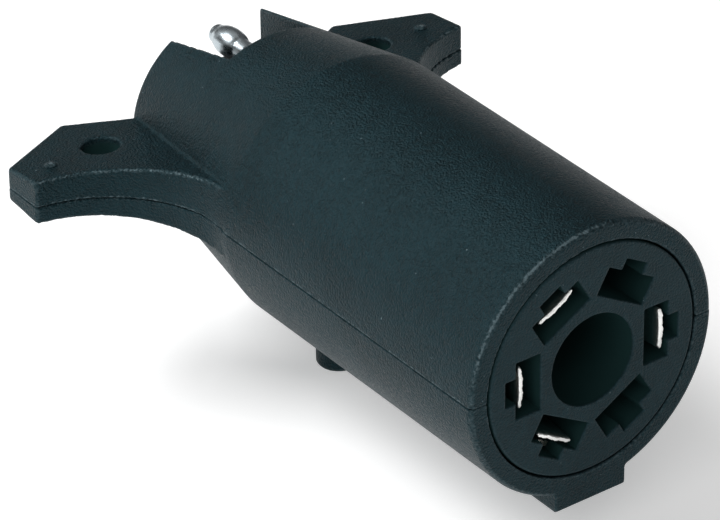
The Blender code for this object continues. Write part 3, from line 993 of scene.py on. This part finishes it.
class TerminalBlock(SubAssembly):
    """The rubber block, its bullet pin and its three tube sockets."""

    TURNS = 72
    SHARP = math.radians(40)
    PIN_CORNER = (0.4, 5)
    SOCKET_CORNER = (0.2, 4)
    SIDE_SHARE = 0.45
    ACROSS = ((-6.9, 0.3), (6.9, 0.3))
    ALONG = ((69.3, 0.3), (79.5, 1.5), (93.0, 0.25), (94.5, 0.3))
    UP = ((-16.2, 0.3), (16.2, 0.3))

    @staticmethod
    def section(x: Numbers, z: Numbers, half: float, low: float, high: float) -> Numbers:
        """Distances to a straight-sided bar with a round bottom and a round top."""
        middle = np.clip(z, low + half, high - half)
        return np.hypot(x, z - middle) - half

    @classmethod
    def solid(cls, at: Spots, gap: float, end: float) -> Numbers:
        """Distances to the block without its bores.

        Args:
            at: the points to measure.
            gap: how far the shape is grown on all sides.
            end: where it ends to the rear.

        Returns:
            Signed distances, negative inside.
        """
        x, y, z = at
        size = BLOCK
        lip = size.lip
        bar = cls.section(x, z, size.half + gap, size.bottom - gap, size.top + gap)
        bar = meet(bar, slab(y, size.front, end), lip)
        step = meet(NOTCH.start - gap - y, NOTCH.floor + gap - z)
        bar = carve(bar, step, lip)
        flange_half, flange_end = size.flange
        flange = cls.section(x, z, flange_half + gap, size.bottom - gap, size.top + gap)
        flange = meet(flange, slab(y, size.front - gap, flange_end), lip)
        start, finish, low, high = size.ridge
        wide = slab(x, -flange_half - gap, flange_half + gap)
        ridge = meet(wide, slab(z, low - gap, high + gap), lip)
        ridge = meet(ridge, slab(y, start, finish + gap), lip)
        return unite(unite(bar, flange), ridge)

    def shape(self, at: Spots) -> Numbers:
        """Distances to the block with its stepped bores.

        Args:
            at: the points to measure.

        Returns:
            Signed distances, negative inside.
        """
        x, y, z = at
        size = TERMINALS
        shape = self.solid(at, 0.0, BLOCK.end)
        for circuit in Circuit:
            bore = rod(x, z, size.shank_hole, 0.0, circuit.height)
            shape = carve(shape, bore, BLOCK.lip)
            if circuit is not Circuit.GROUND:
                wide = rod(x, z, size.socket_bore, 0.0, circuit.height)
                wide = meet(wide, size.socket[0] - BLOCK.gap - y)
                shape = carve(shape, wide, BLOCK.lip)
        return shape

    def turned(self, name: str, profile: list[Pair], height: float) -> bpy.types.Object:
        """A piece turned about an axis along the body.

        Args:
            name: the piece's name.
            profile: points (y, radius) from one end of the axis to the other.
            height: the height of the axis.

        Returns:
            The piece, closed and shaded smooth up to its sharp edges.
        """
        verts: list[Vector] = []
        rings: list[list[int]] = []
        for along, radius in profile:
            count = self.TURNS if radius > 0.0 else 1
            rings.append(list(range(len(verts), len(verts) + count)))
            for step in range(count):
                angle = 2 * math.pi * step / count
                x, z = radius * math.sin(angle), radius * math.cos(angle)
                verts.append(self.place.point(x, along, height + z))
        faces = []
        for ring, following in zip(rings, rings[1:]):
            for step in range(self.TURNS):
                other = (step + 1) % self.TURNS
                corners = (ring[step % len(ring)], following[step % len(following)],
                           following[other % len(following)], ring[other % len(ring)])
                faces.append(list(dict.fromkeys(corners)))
        mesh = bpy.data.meshes.new(name)
        mesh.from_pydata(verts, [], faces)
        mesh.shade_smooth()
        mesh.set_sharp_from_angle(angle=self.SHARP)
        return linked(name, mesh)

    @classmethod
    def rounded(cls, profile: list[Pair], radius: float, steps: int) -> list[Pair]:
        """A profile with each corner that is off the axis rounded.

        Args:
            profile: the points (y, radius).
            radius: the corner radius, less where a side is short.
            steps: how many parts each arc has.

        Returns:
            The rounded profile.
        """
        points = [profile[0]]
        for before, here, after in zip(profile, profile[1:], profile[2:]):
            corner = Vector(here)
            back = Vector(before) - corner
            ahead = Vector(after) - corner
            reach = min(radius, min(back.length, ahead.length) * cls.SIDE_SHARE)
            start = corner + back.normalized() * reach
            end = corner + ahead.normalized() * reach
            for step in range(steps + 1):
                part = step / steps
                curve = start * (1 - part) ** 2 + corner * (2 * part * (1 - part)) + end * part ** 2
                points.append((curve.x, curve.y))
        return points + [profile[-1]]

    @staticmethod
    def barrel() -> list[Pair]:
        """The profile of a wire barrel and the start of the shank behind it.

        Returns:
            Points (y, radius).
        """
        start, end, outer, inner = TERMINALS.barrel
        floor = end - TERMINALS.barrel_floor
        return [(floor, 0.0), (floor, inner), (start, inner), (start, outer), (end, outer),
                (end, TERMINALS.shank)]

    def socket(self, circuit: Circuit) -> bpy.types.Object:
        """A tube socket with rolled lips, behind its wire barrel.

        Args:
            circuit: the circuit that it serves.

        Returns:
            The socket.
        """
        start, end, outer, inner = TERMINALS.socket
        floor = start + TERMINALS.socket_floor
        profile = self.barrel() + [(start, TERMINALS.shank), (start, outer), (end, outer),
                                   (end, inner), (floor, inner), (floor, 0.0)]
        name = "flat_socket_" + circuit.word
        profile = self.rounded(profile, *self.SOCKET_CORNER)
        piece = self.turned(name + "_sleeve", profile, circuit.height)
        return self.stand_in(piece, name, self.paint.tin, Slot.BRASS)

    def pin(self, circuit: Circuit) -> bpy.types.Object:
        """The bare bullet pin: body, neck, round head and nib.

        Args:
            circuit: the circuit that it serves.

        Returns:
            The pin.
        """
        size = TERMINALS
        shoulder = NOTCH.start + BLOCK.gap
        profile = self.barrel() + [(shoulder, size.shank), (shoulder, size.pin[1]), size.pin,
                                   *size.neck, *size.head]
        name = "flat_pin_" + circuit.word
        profile = self.rounded(profile, *self.PIN_CORNER)
        piece = self.turned(name + "_bullet", profile, circuit.height)
        return self.stand_in(piece, name, self.paint.bullet, Slot.NICKEL)

    def build(self) -> list[bpy.types.Object]:
        """Makes the block, its pin and its sockets.

        Returns:
            The pieces.
        """
        sculptor = Sculptor(self.shape, ruler(self.ACROSS), ruler(self.ALONG), ruler(self.UP))
        block = sculptor.mesh("terminal_block_body", self.place.matrix())
        self.stand_in(block, "flat_terminal_block", self.paint.rubber, Slot.RUBBER)
        return [block, self.pin(Circuit.GROUND),
                *(self.socket(circuit) for circuit in (Circuit.TAIL, Circuit.LEFT, Circuit.RIGHT))]


# ---- housing

class Housing(SubAssembly):
    """The two moulded shells, split at the body's axis.

    The grid lines stand closer where the notch, the stakes and the lips are.
    """

    HALF_ACROSS = ((0.0, 0.44), (7.5, 0.22), (9.0, 0.44), (33.9, 0.16), (36.9, 0.44), (41.5, 0.4))
    ALONG = ((-0.8, 0.3), (1.9, 1.3), (28.7, 0.5), (35.9, 1.3), (40.0, 0.8), (54.0, 0.44),
             (78.5, 0.22), (79.6, 0.44), (86.7, 0.16), (89.6, 0.44), (100.5, 0.4))
    UPPER_HEIGHTS = ((-0.2, 0.3), (1.0, 0.44), (7.6, 0.22), (8.5, 0.44), (22.9, 0.4))
    LOWER_HEIGHTS = ((-33.1, 0.44), (-0.6, 0.3), (3.0, 0.18), (5.2, 0.2))

    @staticmethod
    def ear(at: Spots) -> Numbers:
        """Distances to both ears, which mirror each other.

        Args:
            at: the points to measure.

        Returns:
            Signed distances, negative inside.
        """
        x, y, z = at
        size = EAR
        side = np.abs(x)
        centre_x, centre_y, radius = size.arc
        scoop = radius - np.hypot(side - centre_x, y - centre_y)
        root = beside(side, y, size.root, (centre_x - radius, centre_y))
        plan = meet(np.where(y < centre_y, root, scoop), side - size.tip, size.tip_edge)
        plan = meet(plan, beside(side, y, size.tip_end, size.corner), size.corner_edge)
        plan = meet(plan, beside(side, y, size.corner, size.root_end), size.corner_edge)
        plan = meet(plan, size.root[1] - y)
        top = (z - size.top_at(y)) / math.hypot(1.0, size.top_slope)
        bottom = (size.bottom_at(y) - z) / math.hypot(1.0, size.bottom_slope)
        return meet(meet(plan, top, size.edge), bottom, size.lower_edge)

    @staticmethod
    def barrel(at: Spots) -> Numbers:
        """Distances to the nose and the cone behind it.

        Args:
            at: the points to measure.

        Returns:
            Signed distances, negative inside.
        """
        x, y, z = at
        size = BODY
        radius = np.hypot(x, z)
        nose = meet(radius - size.nose, -y, size.nose_edge)
        run = size.end - size.cone_start
        fall = size.nose - size.end_radius
        cone = ((radius - size.nose) * run + (y - size.cone_start) * fall) / math.hypot(run, fall)
        return meet(meet(nose, cone), y - size.end, size.end_edge)

    @staticmethod
    def key(at: Spots) -> Numbers:
        """Distances to the key under the nose, which ends in a ramp.

        Args:
            at: the points to measure.

        Returns:
            Signed distances, negative inside.
        """
        x, y, z = at
        size = KEY
        steep = math.hypot(size.ramp, size.height)
        rise = z - size.bottom - size.height
        ramp = ((y - size.length) * size.height - rise * size.ramp) / steep
        shape = meet(np.abs(x) - size.half, size.bottom - z, size.edge)
        shape = meet(shape, np.maximum(-y, ramp), size.edge)
        return meet(shape, z + BODY.bore)

    @staticmethod
    def catch(at: Spots) -> Numbers:
        """Distances to the round catch for the socket's lid.

        Args:
            at: the points to measure.

        Returns:
            Signed distances, negative inside.
        """
        x, y, z = at
        size = KEY
        post = rod(x, y, size.catch_radius, 0.0, size.catch_y)
        return meet(meet(post, size.catch_bottom - z, size.catch_edge), z + BODY.bore)

    @classmethod
    def outside(cls, at: Spots) -> Numbers:
        """Distances to the whole outer shape.

        Args:
            at: the points to measure.

        Returns:
            Signed distances, negative inside.
        """
        x, y, _ = at
        body = unite(cls.barrel(at), cls.ear(at), BODY.fillet)
        body = unite(body, cls.key(at), KEY.fillet)
        body = unite(body, cls.catch(at), KEY.fillet)
        side = np.abs(x)
        hole_x, hole_y, radius = EAR.hole
        return carve(body, rod(side, y, radius, hole_x, hole_y), BODY.lip)

    @staticmethod
    def notch(at: Spots, extra: float) -> Numbers:
        """Distances to the notch, grown to its sides, front and floor.

        Args:
            at: the points to measure.
            extra: how far it is grown.

        Returns:
            Signed distances, negative inside.
        """
        x, y, z = at
        size = NOTCH
        flare = (size.half_end - size.half_front) / (BODY.end - size.start)
        half = size.half_front + extra + flare * (y - size.start)
        plan = meet(np.abs(x) - half, size.start - extra - y)
        return meet(plan, size.floor - extra - z)

    @classmethod
    def hollow(cls, at: Spots) -> Numbers:
        """Distances to the hollow, less the bulkhead and the notch's walls.

        Args:
            at: the points to measure.

        Returns:
            Signed distances, negative inside.
        """
        x, y, z = at
        size = BODY
        radius = np.hypot(x, z)
        start, end, collar = size.collar
        seat, plate = size.plate_seat
        space = meet(radius - size.bore, y - start)
        space = unite(space, meet(radius - collar, slab(y, start, end)))
        space = unite(space, meet(radius - plate, slab(y, end, seat)))
        last, last_radius = size.hollow_end
        run = last - size.cone_start
        fall = size.wire_space - last_radius
        cone = (radius - size.wire_space) * run + (y - size.cone_start) * fall
        cone = cone / math.hypot(run, fall)
        rear = meet(np.maximum(radius - size.wire_space, cone), slab(y, seat, last))
        space = unite(space, rear)
        space = carve(space, slab(y, *size.bulkhead))
        return carve(space, cls.notch(at, NOTCH.wall))

    @classmethod
    def shell(cls, at: Spots, proud: float) -> Numbers:
        """Distances to both shells before they are split.

        Args:
            at: the points to measure.
            proud: how far the outside is grown.

        Returns:
            Signed distances, negative inside.
        """
        _, y, _ = at
        size = BODY
        body = np.maximum(cls.outside(at) - proud, -y)
        body = carve(body, cls.hollow(at), size.hollow_lip)
        return carve(body, TerminalBlock.solid(at, BLOCK.gap, size.end + 1.0), size.seat_lip)

    @classmethod
    def upper(cls, at: Spots) -> Numbers:
        """Distances to the upper shell.

        Args:
            at: the points to measure.

        Returns:
            Signed distances, negative inside.
        """
        x, y, z = at
        shape = meet(cls.shell(at, 0.0), BODY.seam - z, BODY.seam_edge)
        shape = carve(shape, cls.notch(at, 0.0), NOTCH.lip)
        stake_x, stake_y, radius = EAR.stake
        hole = rod(np.abs(x), y, radius + EAR.stake_gap, stake_x, stake_y)
        return carve(shape, meet(hole, z - EAR.stake_top))

    @classmethod
    def lower(cls, at: Spots) -> Numbers:
        """Distances to the lower shell and its two stakes with melted heads.

        Args:
            at: the points to measure.

        Returns:
            Signed distances, negative inside.
        """
        x, y, z = at
        shape = meet(cls.shell(at, BODY.proud), z + BODY.seam, BODY.seam_edge)
        stake_x, stake_y, radius = EAR.stake
        side = np.abs(x)
        bar = slab(z, EAR.stake_foot, EAR.top_at(stake_y))
        stem = meet(rod(side, y, radius, stake_x, stake_y), bar)
        wide, high = EAR.stake_head
        rise = z - EAR.top_at(y)
        spread = ((side - stake_x) / wide) ** 2 + ((y - stake_y) / wide) ** 2
        dome = np.sqrt(spread + (rise / high) ** 2)
        head = meet((dome - 1.0) * high, EAR.head_gap - rise)
        return unite(shape, unite(stem, head))

    @staticmethod
    def worn_and_highlit(at: Spots) -> Numbers:
        """How pale the shells are painted: wear and a painted highlight on the nose's rim, painted
        highlights along the split, the ears' front edges and the stakes.

        Args:
            at: the points to measure.

        Returns:
            A share from 0 to 1 for each point.
        """
        x, y, z = at
        size = WEAR_AND_HIGHLIGHT
        radius, side, rise = np.hypot(x, z), np.abs(x), z - EAR.top_at(y)
        # the nose's rim: wear and a painted highlight, strongest on the upper left where the lamp
        # falls
        inward, back, width = size.rim
        clock, span = size.rim_clock
        upper_left = 1.0 - (np.abs(np.degrees(np.arctan2(x, z)) - clock) / span) ** 4
        rim = fade(np.hypot(radius - BODY.nose + inward, y - back), width)
        rim = rim * np.clip(upper_left, 0.0, 1.0)
        # painted highlight along the upper shell's lower edge on the left flank
        height, width = size.split
        outer_left = (radius > BODY.nose - size.split_depth) * (x < 0.0)
        split = fade(z - height, width) * outer_left * size.split_share
        # painted highlight along the ears' arc top edges
        inward, width = size.arc
        front = EAR.arc[2] - np.hypot(side - EAR.arc[0], y - EAR.arc[1])
        arc = fade(np.hypot(front + inward, rise + inward), width)
        arc = arc * (y > size.arc_start) * size.arc_share
        # painted highlight on the stakes' crowns
        height, width = size.crown
        crown = fade(np.hypot(side - EAR.stake[0], y - EAR.stake[1]), width) * (rise > height)
        return np.maximum.reduce([rim, split, arc, crown])

    @staticmethod
    def painted_shade(at: Spots) -> Numbers:
        """How deep a point lies inside an ear's hole, which sets the painted shade there.

        Args:
            at: the points to measure.

        Returns:
            A share from 0 to 1 for each point.
        """
        x, y, z = at
        size = EAR
        hole_x, hole_y, radius = size.hole
        inside = rod(np.abs(x), y, radius + size.shade_reach, hole_x, hole_y) < 0.0
        return np.clip((size.top_at(y) - size.shade_start - z) / size.shade_fade, 0.0, 1.0) * inside

    def build(self) -> list[bpy.types.Object]:
        """Makes the upper and the lower shell.

        Returns:
            The pieces.
        """
        half = ruler(self.HALF_ACROSS)
        across = np.concatenate([-half[:0:-1], half])
        shells = []
        for name, shape, heights in (("upper_housing", self.upper, self.UPPER_HEIGHTS),
                                     ("lower_housing", self.lower, self.LOWER_HEIGHTS)):
            sculptor = Sculptor(shape, across, ruler(self.ALONG), ruler(heights),
                                rub=self.worn_and_highlit, painted_shade=self.painted_shade)
            shell = sculptor.mesh(name + "_moulding", self.place.matrix())
            shells.append(self.stand_in(shell, name, self.paint.housing, Slot.HOUSING))
        return shells


# ---- plug insert and contacts

class PlugInsert(SubAssembly):
    """The round plug face, and the plate behind it."""

    ACROSS = ((-20.7, 0.27), (20.7, 0.27))
    ALONG = ((-0.5, 0.2), (0.9, 2.4), (24.9, 0.7), (27.0, 2.0), (31.0, 0.6), (35.6, 0.6))

    @staticmethod
    def shape(at: Spots) -> Numbers:
        """Distances to the insert, with its slots repeated around the axis.

        Args:
            at: the points to measure.

        Returns:
            Signed distances, negative inside.
        """
        x, y, z = at
        size = INSERT
        radius = np.hypot(x, z)
        start, end, collar = size.collar
        body = meet(radius - size.radius, slab(y, 0.0, end), size.edge)
        body = unite(body, meet(radius - collar, slab(y, start, end), size.edge))
        pitch = 2 * math.pi / size.slot_count
        clock = np.arctan2(x, z)
        folded = clock - pitch * np.floor(clock / pitch) - pitch / 2
        across = np.abs(radius * np.sin(folded))
        outward = radius * np.cos(folded)
        inner, outer, half = size.slot
        tab_outer, tab_half = size.tab
        slot = meet(across - half, slab(outward, inner, outer))
        tab = meet(across - tab_half, slab(outward, inner, tab_outer))
        body = carve(body, unite(slot, tab), size.lip)
        hole = meet(radius - size.hole, y - size.hole_depth)
        return carve(body, hole, size.lip)

    @staticmethod
    def painted_shade(at: Spots) -> Numbers:
        """How deep a point lies behind the face, up to 1, which sets the painted shade in the slots
        and the hole.
        """
        _, y, _ = at
        return np.clip((y - INSERT.dark_start) / INSERT.dark_fade, 0.0, 1.0)

    def build(self) -> list[bpy.types.Object]:
        """Makes the insert and dresses the plate behind it.

        Returns:
            The pieces.
        """
        across = ruler(self.ACROSS)
        sculptor = Sculptor(self.shape, across, ruler(self.ALONG), across, painted_shade=self.painted_shade)
        insert = sculptor.mesh("plug_face", self.place.matrix())
        wear(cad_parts["insert_backplate"], self.paint.insert)
        return [self.stand_in(insert, "plug_insert", self.paint.insert, Slot.INSERT)]


class ContactLeaves(SubAssembly):
    """The four bowed spring leaves, made by one node tree."""

    INPUTS = {"Front": LEAF.front, "Root": LEAF.root, "Radial": LEAF.radial, "Bow": LEAF.bow,
              "Thickness": LEAF.thickness, "Half Width": LEAF.half, "Rounding": LEAF.rounding,
              "Raggedness": LEAF.ragged, "Dark Start": LEAF.dark_start}
    GRID = {"Size": (2.0, 1.0, 2.0), "Vertices X": 29, "Vertices Y": 61, "Vertices Z": 7}
    JAGS = ((8.3, 1.0, 1.0), (19.0, 2.0, 0.7), (37.0, 0.0, 0.5))
    FLANK_POWER = 8.0
    TONGUE = 60.0
    TONGUE_SHARE = 0.35
    SETTLED = 0.7
    DARK_PACE = 0.8
    DARKEST = 0.9
    WELD = 0.001

    def bent(self, nodes: NodeMaker, size: dict[str, Value]) -> Value:
        """The place that a point of the plain box takes in the leaf at twelve o'clock.

        Args:
            nodes: the maker of the tree's nodes.
            size: the tree's inputs by name.

        Returns:
            The place, in which the leaf bows, thins to its flanks and has a ragged front.
        """
        across, along, side = nodes.axes(nodes.add("GeometryNodeInputPosition"))
        along = along + 0.5
        squared = across * across
        slope = size["Rounding"] * squared * (1 - along)
        y = size["Front"] + slope + (size["Root"] - size["Front"] - slope) * along
        flank = (1 - squared ** self.FLANK_POWER) ** 0.5
        nose = (along * self.TONGUE).math("MINIMUM", 1.0)
        tongue = (1 - (1 - nose) ** 2.0) ** 0.5
        dip = (along * math.pi).math("SINE")
        jag = sum((across * pace + start).math("SINE") * share for pace, start, share in self.JAGS)
        jag = jag * size["Raggedness"] * (1 - nose * self.SETTLED)
        radial = size["Radial"] - size["Bow"] * dip + jag
        thinning = tongue * self.TONGUE_SHARE + (1 - self.TONGUE_SHARE)
        radial = radial + side * size["Thickness"] * 0.5 * flank * thinning
        return nodes.add("ShaderNodeCombineXYZ", {}, {
            "X": across * size["Half Width"], "Y": y, "Z": radial})

    def make_tree(self) -> bpy.types.NodeTree:
        """Bends a fine box into the leaf at twelve o'clock.

        Returns:
            The tree, with a named input for each size.
        """
        tree = bpy.data.node_groups.new("bowed_leaf", "GeometryNodeTree")
        nodes = NodeMaker(tree)
        for name, size in self.INPUTS.items():
            socket = tree.interface.new_socket(name, in_out="INPUT", socket_type="NodeSocketFloat")
            socket.default_value = size
        tree.interface.new_socket("Material", in_out="INPUT", socket_type="NodeSocketMaterial")
        tree.interface.new_socket("Geometry", in_out="OUTPUT", socket_type="NodeSocketGeometry")
        given = nodes.add("NodeGroupInput").socket.node.outputs
        sizes = {name: Value(nodes, given[name]) for name in self.INPUTS}
        box = nodes.add("GeometryNodeMeshCube", {}, self.GRID, "Mesh")
        leaf = nodes.add("GeometryNodeSetPosition", {}, {
            "Geometry": box, "Position": self.bent(nodes, sizes)})
        leaf = nodes.add("GeometryNodeMergeByDistance", {}, {
            "Geometry": leaf, "Distance": self.WELD})
        # painted shade: the leaf darkens behind its front edge, stored as the painted-shade mark
        depth = nodes.axes(nodes.add("GeometryNodeInputPosition"))[1] - sizes["Dark Start"]
        depth = (depth * self.DARK_PACE).math("MINIMUM", self.DARKEST).math("MAXIMUM", 0.0)
        kind = {"data_type": "FLOAT", "domain": "POINT"}
        leaf = nodes.add("GeometryNodeStoreNamedAttribute", kind, {
            "Geometry": leaf, "Name": "painted_shade", "Value": depth})
        leaf = nodes.add("GeometryNodeSetShadeSmooth", {}, {"Geometry": leaf})
        leaf = nodes.add("GeometryNodeRealizeInstances", {}, {"Geometry": leaf})
        leaf = nodes.add("GeometryNodeSetMaterial", {}, {
            "Geometry": leaf, "Material": Value(nodes, given["Material"])})
        nodes.add("NodeGroupOutput", {}, {"Geometry": leaf})
        return tree

    def leaf(self, tree: bpy.types.NodeTree, circuit: Circuit) -> bpy.types.Object:
        """One leaf at its circuit's clock angle.

        Args:
            tree: the tree that makes a leaf.
            circuit: the circuit that it serves.

        Returns:
            The leaf, which rides on its own body.
        """
        name = "contact_spring_" + circuit.word
        carrier = linked(name + "_carrier", bpy.data.meshes.new(name + "_carrier"))
        modifier = carrier.modifiers.new("bowed_leaf", "NODES")
        modifier.node_group = tree
        values = {**self.INPUTS, "Material": self.paint.nickel}
        for item in tree.interface.items_tree:
            if item.in_out == "INPUT":
                modifier[item.identifier] = values[item.name]
        evaluated = carrier.evaluated_get(bpy.context.evaluated_depsgraph_get())
        mesh = bpy.data.meshes.new_from_object(evaluated)
        bpy.data.objects.remove(carrier, do_unlink=True)
        mesh.name = name + "_leaf"
        mesh.transform(self.place.matrix(circuit.clock))
        return self.stand_in(linked(name + "_leaf", mesh), name, self.paint.nickel, Slot.NICKEL,
                             "leaf_" + circuit.word)

    def build(self) -> list[bpy.types.Object]:
        """Makes the four leaves, and dresses the fixed contacts and the wires.

        Returns:
            The pieces.
        """
        for circuit in Circuit:
            wear(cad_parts["blade_contact_" + circuit.word], self.paint.tin)
            wear(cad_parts["wire_" + circuit.word], self.paint.jackets[circuit])
        tree = self.make_tree()
        return [self.leaf(tree, circuit) for circuit in Circuit]


# ---- studio

@dataclass(frozen=True)
class Softbox:
    """A square lamp that faces the adapter."""

    name: str
    azimuth: float
    elevation: float
    distance: float
    size: float
    power: float


class Studio:
    """The pale floor, the soft lamps and the camera."""

    AZIMUTH = math.radians(-36.0)
    ELEVATION = math.radians(31.78)
    ROLL = math.radians(-0.77)
    DISTANCE = 722.34
    LENS = 240.9
    PAN = (-9.85, -2.34)
    AIM = (0.0, 40.0, 0.0)
    CLIP = 0.01
    FLOOR = 3.0
    WHITE = (1.0, 1.0, 1.0, 1.0)
    PAPER = {"Base Color": (0.92, 0.92, 0.92, 1.0), "Roughness": 0.9, "Emission Color": WHITE,
             "Emission Strength": 0.35}
    SURROUND = 0.12
    LAMPS = (
        Softbox("key_lamp", -139.0, 47.0, 1.1, 0.5, 10.0),
        Softbox("side_lamp", -60.0, 30.0, 1.2, 0.7, 3.6),
        Softbox("fill_lamp", -10.0, 45.0, 1.2, 0.8, 1.8),
        Softbox("rear_lamp", 160.0, 60.0, 1.2, 0.9, 0.8),
    )

    def __init__(self, place: Place) -> None:
        """Keeps the place."""
        self.place = place

    @staticmethod
    def outward(azimuth: float, elevation: float) -> Vector:
        """The direction from the adapter to a viewer at an azimuth and an elevation."""
        level = math.cos(elevation)
        return Vector((math.sin(azimuth) * level, -math.cos(azimuth) * level, math.sin(elevation)))

    def camera(self) -> None:
        """Sets the camera at its angle, rolled and panned a little."""
        back = self.outward(self.AZIMUTH, self.ELEVATION)
        level = Vector((math.cos(self.AZIMUTH), math.sin(self.AZIMUTH), 0.0))
        rise = back.cross(level)
        right = level * math.cos(self.ROLL) + rise * math.sin(self.ROLL)
        up = rise * math.cos(self.ROLL) - level * math.sin(self.ROLL)
        eye = Vector(self.AIM) + back * self.DISTANCE + right * self.PAN[0] + up * self.PAN[1]
        lens = bpy.data.cameras.new("camera")
        lens.lens = self.LENS
        lens.clip_start = self.CLIP
        seen = linked("camera", lens)
        turn = Matrix((right, up, back)).transposed().to_4x4()
        seen.matrix_world = Matrix.Translation(self.place.point(*eye)) @ turn
        bpy.context.scene.camera = seen

    def floor(self) -> None:
        """A plain pale floor under the catch."""
        half = self.FLOOR
        mesh = bpy.data.meshes.new("floor")
        corners = [(-half, -half, 0.0), (half, -half, 0.0), (half, half, 0.0), (-half, half, 0.0)]
        mesh.from_pydata(corners, [], [(0, 1, 2, 3)])
        paper = bpy.data.materials.new("floor_paper")
        paper.use_nodes = True
        inputs = paper.node_tree.nodes["Principled BSDF"].inputs
        for name, value in self.PAPER.items():
            inputs[name].default_value = value
        mesh.materials.append(paper)
        linked("floor", mesh)

    def lamps(self) -> None:
        """Hangs the soft lamps and sets the pale surround."""
        aim = self.place.point(*self.AIM)
        for box in self.LAMPS:
            light = bpy.data.lights.new(box.name, "AREA")
            light.shape = "SQUARE"
            light.size = box.size
            light.energy = box.power
            lamp = linked(box.name, light)
            away = self.outward(math.radians(box.azimuth), math.radians(box.elevation))
            lamp.location = aim + away * box.distance
            lamp.rotation_euler = away.to_track_quat("Z", "Y").to_euler()
        world = bpy.data.worlds.new("surround")
        world.use_nodes = True
        inputs = world.node_tree.nodes["Background"].inputs
        inputs["Color"].default_value = self.WHITE
        inputs["Strength"].default_value = self.SURROUND
        bpy.context.scene.world = world

    def build(self) -> None:
        """Sets up the whole studio."""
        self.camera()
        self.floor()
        self.lamps()
        bpy.context.scene.view_settings.view_transform = "Standard"


def main() -> None:
    """Builds every sub-assembly in order."""
    logging.basicConfig(level=logging.INFO, format="%(message)s")
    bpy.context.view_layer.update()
    place = Place.of_frame()
    paint = Paintbox()
    Studio(place).build()
    for maker in (Housing(place, paint), PlugInsert(place, paint), TerminalBlock(place, paint),
                  ContactLeaves(place, paint)):
        for piece in maker.build():
            log.info("%s: %d faces", piece.name, len(piece.data.polygons))


if __name__ == "__main__":
    main()
